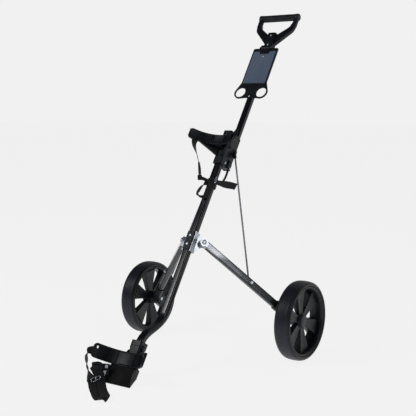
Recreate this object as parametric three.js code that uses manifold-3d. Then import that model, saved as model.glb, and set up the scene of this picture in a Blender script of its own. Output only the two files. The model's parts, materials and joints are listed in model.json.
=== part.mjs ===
// A two-wheel golf pull trolley, stood open and empty on level ground.
// Millimetres, +Z up, -Y to the bag side, which is the front. Pieces named right_ are at +X.
// The lower tube carries the foot and the two folding legs. The handle tube lies behind it and
// slides down it with the upper cradle when the legs fold.

import * as THREE from 'three';
import { mergeVertices } from 'three/addons/utils/BufferGeometryUtils.js';
import Module from 'manifold-3d';

const wasm = await Module();
wasm.setup();

// ---------------------------------------------------------------- driving dimensions

const GAP = 0.3; // between pieces that touch or seat on each other
const SLIDE_GAP = 0.8; // around a piece that slides through another
const PIN_GAP = 0.4; // radial, around a pin or a screw
const OVERRUN = 1; // how far a cutter reaches past the face that it opens
const BODY_CORNER = 5; // of the moulded blocks round the tubes

// Wheels and track
const WHEEL_DIAMETER = 240;
const TRACK = 583; // between the middle planes of the two wheels
const TYRE_WIDTH = 52;
const TYRE_WALL = 19.5; // radial
const TYRE_SHOULDER = 15; // radius where tread turns into side wall
const RIM_WIDTH = 46;
const RIM_WALL = 3.2;
const RIM_LIP = 5; // height of the lip that holds the tyre
const RIM_LIP_WIDTH = 3;
const HUB_RADIUS = 20;
const HUB_INNER_REACH = 26; // hub length from the middle plane towards the leg
const HUB_OUTER_REACH = 8; // hub length from the middle plane outwards
const SPOKE_COUNT = 6;
const SPOKE_THICKNESS = 9;
const SPOKE_HALF_WIDTH_HUB = 8;
const SPOKE_HALF_WIDTH_RIM = 23;
const AXLE_DIAMETER = 12;
const AXLE_HEAD_DIAMETER = 22;
const AXLE_HEAD_THICKNESS = 2.5;
const HUB_CAP_THICKNESS = 6.7;
const HUB_CAP_INSET = 1; // inside the hub's radius
const HUB_CAP_CHAMFER = 2;
const WHEEL_TO_LEG = 3.5; // between the tyre's inner face and the leg end

// Lower tube
const TUBE_ANGLE = 56.2; // degrees above the ground
const HINGE_Y = -161.2; // the tube's middle line at the leg hinge
const HINGE_Z = 352;
const MAIN_TUBE_WIDTH = 24;
const MAIN_TUBE_DEPTH = 20;
const MAIN_TUBE_CORNER = 6;
const TUBE_WALL = 1.8;
const MAIN_TUBE_TOP = 386;
const BEND_START = -232; // where the tube turns towards the bag
const BEND_END = -356; // where it runs straight again
const BEND_OFFSET = 60; // how far the bend brings it forward
const MAIN_TUBE_FOOT_RUN = 24; // straight length below the bend
const BEND_EASE = 0.44; // share of the bend's height over which it turns at each end
const BEND_STEPS = 11;
const PLUG_DEPTH = 16; // into the top of the lower tube
const PLUG_FLANGE = 2.5;

// Handle tube and handle
const HANDLE_TUBE_OFFSET = 40; // behind the lower tube, middle line to middle line
const HANDLE_TUBE_WIDTH = 21;
const HANDLE_TUBE_DEPTH = 18;
const HANDLE_TUBE_CORNER = 5;
const HANDLE_TUBE_BOTTOM = 290;
const HANDLE_TUBE_TOP = 783;
const GRIP_HEIGHT = 875; // the grip's middle line
const GRIP_LENGTH = 152;
const GRIP_DIAMETER = 24;
const GRIP_CORE_DIAMETER = 15;
const HANDLE_ARM_THICKNESS = 14;
const HANDLE_ARM_WIDTH = 12;
const HANDLE_STEM_BOTTOM = 746;
const HANDLE_STEM_TOP = 806;
const HANDLE_STEM_WALL = 4;
const HANDLE_STEM_HALF_WIDTH = 16;
const HANDLE_ARM_ROOT = 38; // where the arms leave the stem, below its top
const HANDLE_CROTCH_HALF_WIDTH = 19;
// Corners of the bend under each end of the grip: [inwards from the arm, above the stem].
const OUTER_SHOULDER = [[6, 22], [2, 28], [1, 36]];
const INNER_SHOULDER = [[0, 42], [1.5, 36], [6, 30]];
const GRIP_CORE_INSET = 2; // the core ends this far inside the arms' outer faces

// Scorecard holder
const CARD_PLATE_BOTTOM = 541;
const CARD_PLATE_TOP = 740;
const CARD_PLATE_HALF_WIDTH = 47;
const CARD_PLATE_THICKNESS = 4;
const CARD_LOBE_RADIUS = 23;
const BALL_HOLE_DIAMETER = 37;
const BALL_HOLE_SPACING = 79; // between the two hole centres
const CARD_PANEL_BOTTOM = 598;
const CARD_PANEL_TOP = 729;
const CARD_PANEL_BORDER = 4;
const CARD_PANEL_THICKNESS = 1.4;
const CARD_PANEL_CORNER = 2;
const CARD_CORNER = 6;
const CARD_WAIST_RISE = 5; // how far the lower edge rises between the two holes
const CARD_LOBE_SIDE = 0.35; // radians above level where a lobe meets the plate's side
const CLIP_WIDTH = 34;
const CLIP_HEIGHT = 22;
const CLIP_THICKNESS = 2.4;
const CLIP_SIDE_GAP = 0.6;
const CLIP_LUG_WIDTH = 3;
const CLIP_LUG_HEIGHT = 6;
const CLIP_PIN_STANDOFF = 3.5; // the pin's middle line in front of the panel
const CLIP_PIN_DROP = 2; // the pin's middle line below the plate's top
const CLIP_BARREL_WALL = 2.4;
const CLIP_TAB_HEIGHT = 8;
const CLIP_TAB_THICKNESS = 2.4;
const CLIP_TAB_FRONT = 3.6; // in front of the pin's middle line

// Slider body and upper cradle
const SLIDER_BOTTOM = 272;
const SLIDER_TOP = 390;
const SLIDER_HALF_WIDTH = 16;
const SLIDER_WALL = 4.5; // in front of the lower tube
const CRADLE_HALF_CHORD = 88;
const CRADLE_SAG = 45;
const CRADLE_BAND = 6; // thickness of both cradle bands
const UPPER_BAND_BOTTOM = 320;
const UPPER_BAND_TOP = 354;
const UPPER_BAND_STANDOFF = 38; // tube middle line to the back of the band
const GUSSET_REACH = 58; // how far out the gussets meet the band
const GUSSET_THICKNESS = 3.5;
const GUSSET_BOTTOM = 12; // above the slider's lower end
const GUSSET_INSET = 2; // from the band's edges
const GUSSET_ROOT = 3; // how deep its ends run into their neighbours
const SLIDER_HEEL_WALL = 3.5; // behind the lower tube, over the end block
const STANDOFF_BOTTOM = 10; // above the slider's lower end

// Leg hinge and legs
const LEG_PIVOT_X = 35;
const LEG_PIVOT_BACK = 16; // behind the lower tube's middle line
const LEG_PIVOT_UP = 10; // along the lower tube from its hinge point
const LEG_WIDTH = 23;
const LEG_THICKNESS = 18;
const LEG_CORNER = 5;
const LEG_TUBE_START = 16; // from the pivot
const LEG_TUBE_CUTBACK = 40; // leg tube stops this far short of the wheel side
const PIVOT_BOLT_DIAMETER = 8;
const PIVOT_HEAD_DIAMETER = 15;
const PIVOT_HEAD_HEIGHT = 4.5;
const BRACKET_SHEET = 3;
const BRACKET_BOTTOM = -30;
const BRACKET_TOP = 34;
const FRONT_PLATE_THICKNESS = 3.5;
const RIVET_DIAMETER = 5;
const RIVET_HEAD_DIAMETER = 9;
const RIVET_HEAD_HEIGHT = 2.4;
const RIVET_REACH = 2; // behind the tube's front wall
const UPPER_RIVET_ABOVE_PIVOT = 9;
const LOWER_RIVET_BELOW_PIVOT = 20;
const FRONT_PLATE_INSET = 2; // from each end of the bracket
const EAR_INSET = 3; // from each end of the bracket, where the ear leaves it
const BOLT_PROUD = 1.5; // beyond the nut
const KNUCKLE_PLUG_LENGTH = 28; // inside the leg tube
const KNUCKLE_PROUD = 1; // radial, over half the leg's width
const ELBOW_WALL = 3;
const ELBOW_OVERLAP = 30; // how far the elbow's socket covers the leg tube
const ELBOW_NECK = 24; // the socket ends this far short of the axle

// Struts
const STRUT_DIAMETER = 5.5;
const STRUT_JOINT_REACH = 188; // from the leg pivot along the leg
const STRUT_TOP_UP = 331; // along the lower tube
const STRUT_TOP_OUT = 34.5; // sideways in the plane that the leg folds in
const STRUT_SIDE_GAP = 1; // between the strut and the leg
const FERRULE_DIAMETER = 10;
const FERRULE_LENGTH = 24;
const LUG_GAP = 1;
const LUG_THICKNESS = 4;
const LUG_WIDTH = 22;
const LUG_HEIGHT = 27;
const LUG_CORNER = 6;
const LUG_INSET = 3; // its middle, inwards from the strut's top
const STRUT_CAP_WALL = 2.5;
const STRUT_CAP_FLOOR = 1.5;
const CHAMFER_SHARE = 0.7; // a rounded end's inner radius, as a share of its outer one
const FERRULE_TAPER = 4;

// Lower cradle and foot
const LOWER_HALF_CHORD = 93;
const LOWER_SAG = 45;
const LOWER_BAND_TOP = -389;
const LOWER_BAND_BOTTOM = -431;
const LOWER_BAND_STANDOFF = 86; // tube middle line to the back of the band
const SOCKET_TOP = -348;
const SOCKET_WALL = 5;
const FOOT_HALF_WIDTH_FRONT = 50;
const FOOT_HALF_WIDTH_BACK = 22;
const FOOT_FRONT = -95;
const FOOT_PAD_THICKNESS = 4;
const STRAP_SLOT_WIDTH = 5;
const STRAP_SLOT_LENGTH = 26;
const SOCKET_BELOW_BAND = 10;
const FOOT_UNDER_BAND = 6; // how far the foot block runs up behind the band
const FOOT_DEPTH = -560; // below the ground, where a level cut ends the foot
const FOOT_PAD_INSET = 2;

// Straps
const WEBBING_THICKNESS = 2.2;
const UPPER_WEBBING_WIDTH = 20;
const COLLAR_BOTTOM = 202; // the wrap round the lower tube
const TAIL_CLEARANCE = 1.8; // between the wrap and the loose tail
const TAIL_DROP = 17; // from the tail's start to its end
const TAIL_REACH = 37;
const TAIL_FORWARD = 13;
const STRAP_TO_BAND = 14; // below the upper band
const STRAP_TOP_INSET = 12; // from the band's tip
const STRAP_TOP_FRONT = -82;
const UPPER_BUCKLE_SIZE = [24, 17]; // width, height
const UPPER_BUCKLE_TURN = 0.35; // radians, leaning outwards at the top
const BUCKLE_CORNER = 2;
const LOWER_BUCKLE_SIZE = [26, 30];
const LOWER_BUCKLE_PLACE = [-46, -519, 31]; // its lower end
const LOWER_BUCKLE_LEAN = -0.25;
const LOWER_STRAP_DIAMETER = 8; // of the round tube that stands for the fallen webbing
const RING_RADIUS = 13;
const RING_PLACE = [-47, -519, 17];
const RING_LEAN = -0.5;
const HOOK_WIRE = 3;
const HOOK_RISE = [-6, -3, 8, 18, 21]; // heights of its five points above the wrap's lower edge
const HOOK_ACROSS = [6, 14, 17, 13, 5];
const HOOK_BULGE = [0, 1, 1, 1, 0]; // forward of its ends

// Fasteners and small parts
const SCREW_DIAMETER = 4;
const SCREW_HEAD_DIAMETER = 8;
const SCREW_HEAD_HEIGHT = 2.2;
const STEM_SCREW_LENGTH = 12;
const UPPER_STEM_SCREW = 794; // heights along the tube
const LOWER_STEM_SCREW = 757;
const UPPER_PLATE_SCREW = 708;
const LOWER_PLATE_SCREW = 549;
const CLIP_PIN_DIAMETER = 3;
const CRADLE_BOLT_DIAMETER = 5;
const CRADLE_BOLT_HEAD_HEIGHT = 2.5;
const CRADLE_BORE_REACH = 20; // in front of the band's back
const STANDOFF_HALF_WIDTH = 13;
const STRAP_SLOT_INSET = 12; // from the band's tip, along the band
const SLIDER_BACK = 46;
const SLIDER_SCREW_Y = 6;
const SLIDER_SCREW_Z = 284;
const LEVER_WIDTH = 12;
const LEVER_LENGTH = 42;
const LEVER_HUB_RADIUS = 3.6;
const LEVER_PIN_DIAMETER = 3;
const LEVER_PIN_X = 20;
const LEVER_PIN_Z = 378;
const LEVER_THICKNESS = 5;
const LEVER_EAR_THICKNESS = 3;
const LEVER_EAR_REACH = 3.5; // beyond the pin
const LEVER_EAR_BELOW = 5;
const LEVER_EAR_ABOVE = 4;
const SLIDER_SCREW_HEAD_RADIUS = 4.5;
const SLIDER_SCREW_HEAD_HEIGHT = 3;
const SLIDER_SCREW_BORE = 8;
const SCREW_TIP_GAP = 0.2; // between the slider screw's tip and the tube
const END_BLOCK_BOTTOM = 279;
const END_BLOCK_TOP = 302;
const END_BOLT_Z = 284;
const END_BOLT_BACK = 2; // behind the handle tube's middle line
const END_BLOCK_WALL = 2.5;
const END_BOLT_HEAD_RADIUS = 4;
const END_BOLT_HEAD_HEIGHT = 2.6;
const EAR_RADIUS = 14;
const ELBOW_BOSS_RADIUS = 17;
const ELBOW_BOSS_LENGTH = 26;
const STRUT_PIN_PROUD = 2;
const SPOKE_PHASE = 0.14;
const NUT_WIDTH = 13;
const NUT_HEIGHT = 6;
const FOOT_BOLT_DIAMETER = 6;
const FOOT_BOLT_UP = -366;
const FOOT_BOLT_HEAD_HEIGHT = 3;
const BUCKLE_THICKNESS = 7;
const RING_WIRE = 3;

// ---------------------------------------------------------------- places worked out from them

const sliderFront = () => -(MAIN_TUBE_DEPTH / 2 + SLIDE_GAP + SLIDER_WALL);
const handleTubeFront = () => HANDLE_TUBE_OFFSET - HANDLE_TUBE_DEPTH / 2;
const stemFront = () => handleTubeFront() - GAP - HANDLE_STEM_WALL;
const stemBack = () => HANDLE_TUBE_OFFSET + HANDLE_TUBE_DEPTH / 2 + GAP + HANDLE_STEM_WALL;
const cardPlateBack = () => handleTubeFront() - GAP;
const cardPlateFront = () => cardPlateBack() - CARD_PLATE_THICKNESS;
const cardPanelFront = () => cardPlateFront() - GAP - CARD_PANEL_THICKNESS;
const clipPinY = () => cardPanelFront() - CLIP_PIN_STANDOFF;
const clipPinZ = () => CARD_PLATE_TOP - CLIP_PIN_DROP;
const clipPinReach = () => CLIP_WIDTH / 2 + CLIP_SIDE_GAP + CLIP_LUG_WIDTH;
const plateScrewHeights = () => [UPPER_PLATE_SCREW, LOWER_PLATE_SCREW];
const frontScrewHeights = () => [LOWER_STEM_SCREW, UPPER_PLATE_SCREW, LOWER_PLATE_SCREW];
const upperRivetHeight = () => LEG_PIVOT_UP + UPPER_RIVET_ABOVE_PIVOT;
const lowerRivetHeight = () => LEG_PIVOT_UP - LOWER_RIVET_BELOW_PIVOT;
const rivetHeights = () => [upperRivetHeight(), lowerRivetHeight()];
const collarX = () => MAIN_TUBE_WIDTH / 2 + SLIDE_GAP;
const collarY = () => MAIN_TUBE_DEPTH / 2 + SLIDE_GAP;
const collarSkin = () => 2 * WEBBING_THICKNESS;
const strutPlane = () => LEG_THICKNESS / 2 + STRUT_SIDE_GAP + STRUT_DIAMETER / 2;

// ---------------------------------------------------------------- solids and shapes

function solidOf(geometry) {
  const bare = geometry.index ? geometry.toNonIndexed() : geometry.clone();
  bare.deleteAttribute('normal');
  bare.deleteAttribute('uv');
  const merged = mergeVertices(bare, 1e-4);
  const mesh = new wasm.Mesh({
    numProp: 3,
    vertProperties: new Float32Array(merged.attributes.position.array),
    triVerts: new Uint32Array(merged.index.array),
  });
  return new wasm.Manifold(mesh);
}

function geometryOf(solid) {
  const mesh = solid.getMesh();
  const geometry = new THREE.BufferGeometry();
  geometry.setAttribute('position', new THREE.BufferAttribute(new Float32Array(mesh.vertProperties), 3));
  geometry.setIndex(new THREE.BufferAttribute(new Uint32Array(mesh.triVerts), 1));
  return geometry;
}

function joined(first, ...others) {
  return geometryOf(others.reduce((sum, next) => sum.add(solidOf(next)), solidOf(first)));
}

function cut(body, ...tools) {
  return geometryOf(tools.reduce((rest, tool) => rest.subtract(solidOf(tool)), solidOf(body)));
}

function mirrored(geometry) {
  const copy = geometry.index ? geometry.toNonIndexed() : geometry.clone();
  copy.scale(-1, 1, 1);
  const p = copy.attributes.position;
  for (let i = 0; i < p.count; i += 3) {
    const second = new THREE.Vector3().fromBufferAttribute(p, i + 1);
    const third = new THREE.Vector3().fromBufferAttribute(p, i + 2);
    p.setXYZ(i + 1, third.x, third.y, third.z);
    p.setXYZ(i + 2, second.x, second.y, second.z);
  }
  return copy;
}

function roundedRect(width, depth, corner) {
  const shape = new THREE.Shape();
  const x = width / 2;
  const y = depth / 2;
  const r = Math.min(corner, x, y);
  shape.moveTo(x - r, -y);
  shape.absarc(x - r, -y + r, r, -Math.PI / 2, 0);
  shape.absarc(x - r, y - r, r, 0, Math.PI / 2);
  shape.absarc(-x + r, y - r, r, Math.PI / 2, Math.PI);
  shape.absarc(-x + r, -y + r, r, Math.PI, 1.5 * Math.PI);
  return shape;
}

function polygon(points) {
  return new THREE.Shape(points.map(([x, y]) => new THREE.Vector2(x, y)));
}

// A prism of a shape drawn in x and y, from z = low to z = high.
function prism(shape, low, high, curveSegments = 2) {
  const geometry = new THREE.ExtrudeGeometry(shape, {
    depth: high - low,
    bevelEnabled: false,
    curveSegments,
  });
  return geometry.translate(0, 0, low);
}

function box(x0, x1, y0, y1, z0, z1) {
  const geometry = new THREE.BoxGeometry(x1 - x0, y1 - y0, z1 - z0);
  return geometry.translate((x0 + x1) / 2, (y0 + y1) / 2, (z0 + z1) / 2);
}

// A solid of revolution about z from [radius, z] points, which start and end on the axis or close.
function turned(points, segments = 32) {
  const profile = points.map(([r, z]) => new THREE.Vector2(r, z));
  if (THREE.ShapeUtils.area(profile) < 0) profile.reverse();
  return new THREE.LatheGeometry(profile, segments).rotateX(Math.PI / 2);
}

// A rod about the z axis.
function rod(radius, low, high, segments = 24) {
  return turned([[0, low], [radius, low], [radius, high], [0, high]], segments);
}

const AXIS_TURNS = { x: [0, Math.PI / 2, 0], y: [-Math.PI / 2, 0, 0], z: [0, 0, 0] };

// The same geometry with its z axis laid along x, y or z.
function along(axis, geometry) {
  const matrix = new THREE.Matrix4().makeRotationFromEuler(new THREE.Euler(...AXIS_TURNS[axis]));
  return geometry.applyMatrix4(matrix);
}

// A domed head of a bolt, screw or rivet: its flat underside is at z = 0.
function domedHead(radius, height) {
  return [[radius, 0], [radius, height * 0.35], [radius * 0.72, height * 0.85], [0, height]];
}

// A bolt about z: shank from low up to 0, domed head above it.
function bolt(shankRadius, headRadius, headHeight, length, segments = 16) {
  const shank = [[0, -length], [shankRadius, -length], [shankRadius, 0]];
  return turned([...shank, ...domedHead(headRadius, headHeight)], segments);
}

// A round rod along a smooth curve through the points.
function wire(points, diameter, steps, sides = 10) {
  const curve = new THREE.CatmullRomCurve3(points.map((p) => new THREE.Vector3(...p)));
  const section = new THREE.Shape();
  for (let i = 0; i < sides; i += 1) {
    const angle = (2 * Math.PI * i) / sides;
    const place = [(diameter / 2) * Math.cos(angle), (diameter / 2) * Math.sin(angle)];
    if (i === 0) section.moveTo(...place);
    else section.lineTo(...place);
  }
  return new THREE.ExtrudeGeometry(section, { steps, extrudePath: curve });
}

// ---------------------------------------------------------------- frames

// Tube space: x across, y behind the lower tube, z up along it, from the leg hinge point.
const tubeMatrix = new THREE.Matrix4()
  .makeRotationX(-THREE.MathUtils.degToRad(90 - TUBE_ANGLE))
  .setPosition(0, HINGE_Y, HINGE_Z);
const worldToTube = tubeMatrix.clone().invert();

const wheelRadius = WHEEL_DIAMETER / 2;
const wheelInnerX = TRACK / 2 - TYRE_WIDTH / 2;
const legEndX = wheelInnerX - WHEEL_TO_LEG;

const pivot = new THREE.Vector3(LEG_PIVOT_X, LEG_PIVOT_BACK, LEG_PIVOT_UP);
const axleInTube = new THREE.Vector3(legEndX, 0, wheelRadius).applyMatrix4(worldToTube);
const legReach = pivot.distanceTo(axleInTube);
const legDirection = axleInTube.clone().sub(pivot).normalize();
const tubeUp = new THREE.Vector3(0, 0, 1);
const hingeAxis = legDirection.clone().cross(tubeUp).normalize();

// Leg space: z down the leg from its pivot, y along the hinge axis, outwards.
const legMatrix = new THREE.Matrix4()
  .makeBasis(hingeAxis.clone().cross(legDirection), hingeAxis, legDirection)
  .setPosition(pivot);

// Fold space: x sideways in the leg's folding plane, y inwards along the hinge axis, z up the tube.
const foldSide = hingeAxis.clone().negate().cross(tubeUp).normalize();
const foldMatrix = new THREE.Matrix4()
  .makeBasis(foldSide, hingeAxis.clone().negate(), tubeUp)
  .setPosition(hingeAxis.clone().multiplyScalar(pivot.dot(hingeAxis)));

// ---------------------------------------------------------------- materials and the assembly

const FINISHES = {
  black_tube: { color: 0x1c1d22, roughness: 0.35, metalness: 0.3 },
  black_plastic: { color: 0x17181b, roughness: 0.5, metalness: 0 },
  grip_foam: { color: 0x1d1e21, roughness: 0.8, metalness: 0 },
  tyre_foam: { color: 0x202226, roughness: 0.55, metalness: 0 },
  silver_metal: { color: 0xb9bac4, roughness: 0.3, metalness: 0.9 },
  leg_paint: { color: 0x23252b, roughness: 0.3, metalness: 0.2 },
  strut_steel: { color: 0x6d6f78, roughness: 0.35, metalness: 0.8 },
  panel_slate: { color: 0x58677a, roughness: 0.45, metalness: 0 },
  cap_grey: { color: 0x85878d, roughness: 0.45, metalness: 0 },
  webbing: { color: 0x141517, roughness: 0.85, metalness: 0 },
  foot_rubber: { color: 0x101113, roughness: 0.9, metalness: 0 },
};

const trolley = new THREE.Group();
const tubeSpace = new THREE.Group();
tubeSpace.applyMatrix4(tubeMatrix);
trolley.add(tubeSpace);

function add(name, finish, geometry, space = tubeSpace) {
  const mesh = new THREE.Mesh(geometry, new THREE.MeshStandardMaterial(FINISHES[finish]));
  mesh.name = name;
  space.add(mesh);
}

// The right-hand piece as drawn and its mirror image on the other side.
function addPair(name, finish, geometry, space = tubeSpace) {
  add(`right_${name}`, finish, geometry, space);
  add(`left_${name}`, finish, mirrored(geometry), space);
}

// ---------------------------------------------------------------- tubes

function straightTube(width, depth, corner, low, high) {
  const shape = roundedRect(width, depth, corner);
  shape.holes.push(roundedRect(width - 2 * TUBE_WALL, depth - 2 * TUBE_WALL, corner - TUBE_WALL));
  return prism(shape, low, high);
}

// A path that is sampled at exactly the points it is given.
class PathThrough extends THREE.Curve {
  constructor(points) {
    super();
    this.points = points;
  }

  getPointAt(share) {
    return this.points[Math.round(share * (this.points.length - 1))].clone();
  }

  getTangentAt(share) {
    const last = this.points.length - 1;
    const here = Math.round(share * last);
    const before = this.points[Math.max(here - 1, 0)];
    const point = this.points[here];
    const after = this.points[Math.min(here + 1, last)];
    const arriving = point.clone().sub(before).normalize();
    const leaving = after.clone().sub(point).normalize();
    return arriving.add(leaving).normalize();
  }

  getSpacedPoints() {
    return this.points;
  }
}

function bendCurve() {
  const height = BEND_START - BEND_END;
  return new THREE.CubicBezierCurve3(
    new THREE.Vector3(0, 0, BEND_START),
    new THREE.Vector3(0, 0, BEND_START - height * BEND_EASE),
    new THREE.Vector3(0, -BEND_OFFSET, BEND_END + height * BEND_EASE),
    new THREE.Vector3(0, -BEND_OFFSET, BEND_END),
  );
}

// A bar with the lower tube's whole shape, longer than the tube by the overrun at both ends.
// On this path the section's first side lies front to back.
function bentRun(width, depth, corner, overrun) {
  const points = [
    new THREE.Vector3(0, 0, MAIN_TUBE_TOP + overrun),
    ...bendCurve().getSpacedPoints(BEND_STEPS),
    new THREE.Vector3(0, -BEND_OFFSET, BEND_END - MAIN_TUBE_FOOT_RUN - overrun),
  ];
  return new THREE.ExtrudeGeometry(roundedRect(depth, width, corner), {
    steps: points.length - 1,
    extrudePath: new PathThrough(points),
    curveSegments: 2,
  });
}

function mainTube() {
  const outer = bentRun(MAIN_TUBE_WIDTH, MAIN_TUBE_DEPTH, MAIN_TUBE_CORNER, 0);
  const inner = bentRun(
    MAIN_TUBE_WIDTH - 2 * TUBE_WALL,
    MAIN_TUBE_DEPTH - 2 * TUBE_WALL,
    MAIN_TUBE_CORNER - TUBE_WALL,
    OVERRUN,
  );
  const holes = rivetHeights().map((z) => rivetHole(z));
  return cut(outer, inner, ...holes, footBoltHole());
}

function mainTubePlug() {
  const width = MAIN_TUBE_WIDTH - 2 * TUBE_WALL - 2 * GAP;
  const depth = MAIN_TUBE_DEPTH - 2 * TUBE_WALL - 2 * GAP;
  const corner = MAIN_TUBE_CORNER - TUBE_WALL - GAP;
  const seat = MAIN_TUBE_TOP + GAP;
  const stem = prism(roundedRect(width, depth, corner), MAIN_TUBE_TOP - PLUG_DEPTH, seat + PLUG_FLANGE / 2);
  const flange = roundedRect(MAIN_TUBE_WIDTH, MAIN_TUBE_DEPTH, MAIN_TUBE_CORNER);
  return joined(stem, prism(flange, seat, seat + PLUG_FLANGE));
}

function handleTube() {
  const tube = straightTube(
    HANDLE_TUBE_WIDTH,
    HANDLE_TUBE_DEPTH,
    HANDLE_TUBE_CORNER,
    HANDLE_TUBE_BOTTOM,
    HANDLE_TUBE_TOP,
  );
  return cut(tube.translate(0, HANDLE_TUBE_OFFSET, 0), ...frontScrewHeights().map(frontScrewHole));
}

// ---------------------------------------------------------------- handle

// A plate drawn in x and z, from y = front to y = back.
function slab(shape, front, back, curveSegments = 3) {
  return prism(shape, -back, -front, curveSegments).rotateX(Math.PI / 2);
}

// Half of the D, from the stem up to the grip: outer edge up, then inner edge down.
function armOutline(side) {
  const endX = GRIP_LENGTH / 2;
  const inside = endX - HANDLE_ARM_WIDTH;
  return {
    outer: [
      [side * HANDLE_STEM_HALF_WIDTH, HANDLE_STEM_BOTTOM],
      [side * HANDLE_STEM_HALF_WIDTH, HANDLE_STEM_TOP - HANDLE_ARM_ROOT],
      ...OUTER_SHOULDER.map(([inset, rise]) => [side * (endX - inset), HANDLE_STEM_TOP + rise]),
      [side * endX, GRIP_HEIGHT],
    ],
    inner: [
      [side * inside, GRIP_HEIGHT],
      ...INNER_SHOULDER.map(([inset, rise]) => [side * (inside - inset), HANDLE_STEM_TOP + rise]),
      [side * HANDLE_CROTCH_HALF_WIDTH, HANDLE_STEM_TOP],
    ],
  };
}

function arms() {
  const near = armOutline(1);
  const far = armOutline(-1);
  const shape = polygon([
    ...near.outer,
    ...near.inner,
    ...far.inner.reverse(),
    ...far.outer.reverse(),
  ]);
  const half = HANDLE_ARM_THICKNESS / 2;
  return slab(shape, HANDLE_TUBE_OFFSET - half, HANDLE_TUBE_OFFSET + half, 4);
}

function handleBody() {
  const endX = GRIP_LENGTH / 2;
  const coreEnd = endX - GRIP_CORE_INSET;
  const core = along('x', rod(GRIP_CORE_DIAMETER / 2, -coreEnd, coreEnd));
  const ring = along('x', rod(GRIP_DIAMETER / 2, endX - HANDLE_ARM_WIDTH, endX, 32));
  const bar = joined(core, ring, mirrored(ring)).translate(0, HANDLE_TUBE_OFFSET, GRIP_HEIGHT);
  const stemDepth = stemBack() - stemFront();
  const stem = prism(
    roundedRect(2 * HANDLE_STEM_HALF_WIDTH, stemDepth, BODY_CORNER),
    HANDLE_STEM_BOTTOM,
    HANDLE_STEM_TOP,
  ).translate(0, (stemBack() + stemFront()) / 2, 0);
  const pocket = prism(
    roundedRect(HANDLE_TUBE_WIDTH + 2 * GAP, HANDLE_TUBE_DEPTH + 2 * GAP, HANDLE_TUBE_CORNER + GAP),
    HANDLE_STEM_BOTTOM - OVERRUN,
    HANDLE_TUBE_TOP + GAP,
  ).translate(0, HANDLE_TUBE_OFFSET, 0);
  const upperBore = screwBore(stemFront(), stemFront() + STEM_SCREW_LENGTH + OVERRUN, UPPER_STEM_SCREW);
  return cut(joined(arms(), bar, stem), pocket, frontScrewHole(LOWER_STEM_SCREW), upperBore);
}

function gripSleeve() {
  const reach = GRIP_LENGTH / 2 - HANDLE_ARM_WIDTH - GAP;
  const inner = GRIP_CORE_DIAMETER / 2 + GAP;
  const outer = GRIP_DIAMETER / 2;
  const profile = [[inner, -reach], [outer, -reach], [outer, reach], [inner, reach], [inner, -reach]];
  return along('x', turned(profile, 32)).translate(0, HANDLE_TUBE_OFFSET, GRIP_HEIGHT);
}

// ---------------------------------------------------------------- scorecard holder

function cardPlateOutline() {
  const shape = new THREE.Shape();
  const x = CARD_PLATE_HALF_WIDTH;
  const hole = BALL_HOLE_SPACING / 2;
  const lobeZ = CARD_PLATE_BOTTOM + CARD_LOBE_RADIUS;
  shape.moveTo(-hole, CARD_PLATE_BOTTOM);
  shape.quadraticCurveTo(0, CARD_PLATE_BOTTOM + CARD_WAIST_RISE, hole, CARD_PLATE_BOTTOM);
  shape.absarc(hole, lobeZ, CARD_LOBE_RADIUS, -Math.PI / 2, CARD_LOBE_SIDE);
  const corner = CARD_CORNER;
  shape.lineTo(x, CARD_PANEL_BOTTOM + corner);
  shape.lineTo(x, CARD_PLATE_TOP - corner);
  shape.absarc(x - corner, CARD_PLATE_TOP - corner, corner, 0, Math.PI / 2);
  shape.lineTo(-x + corner, CARD_PLATE_TOP);
  shape.absarc(-x + corner, CARD_PLATE_TOP - corner, corner, Math.PI / 2, Math.PI);
  shape.lineTo(-x, CARD_PANEL_BOTTOM + corner);
  shape.absarc(-hole, lobeZ, CARD_LOBE_RADIUS, Math.PI - CARD_LOBE_SIDE, 1.5 * Math.PI);
  for (const side of [-1, 1]) {
    const ball = new THREE.Path();
    ball.absarc(side * hole, lobeZ, BALL_HOLE_DIAMETER / 2, 0, 2 * Math.PI);
    shape.holes.push(ball);
  }
  return shape;
}

function cardPlate() {
  const plate = slab(cardPlateOutline(), cardPlateFront(), cardPlateBack(), 7);
  const lug = box(
    CLIP_WIDTH / 2 + CLIP_SIDE_GAP,
    clipPinReach(),
    clipPinY() - CLIP_PIN_STANDOFF,
    cardPlateFront() + OVERRUN,
    CARD_PLATE_TOP - CLIP_LUG_HEIGHT,
    CARD_PLATE_TOP,
  );
  const pinBore = clipPinRod(PIN_GAP, OVERRUN);
  return cut(joined(plate, lug, mirrored(lug)), pinBore, ...plateScrewHeights().map(frontScrewHole));
}

function cardPanel() {
  const x = CARD_PLATE_HALF_WIDTH - CARD_PANEL_BORDER;
  const middle = (CARD_PANEL_BOTTOM + CARD_PANEL_TOP) / 2;
  const shape = roundedRect(2 * x, CARD_PANEL_TOP - CARD_PANEL_BOTTOM, CARD_PANEL_CORNER);
  const panel = slab(shape, cardPanelFront(), cardPlateFront() - GAP).translate(0, 0, middle);
  return cut(panel, frontScrewHole(UPPER_PLATE_SCREW));
}

function clipPinRod(extraRadius, extraLength) {
  const reach = clipPinReach() + extraLength;
  const pin = along('x', rod(CLIP_PIN_DIAMETER / 2 + extraRadius, -reach, reach, 12));
  return pin.translate(0, clipPinY(), clipPinZ());
}

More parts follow.
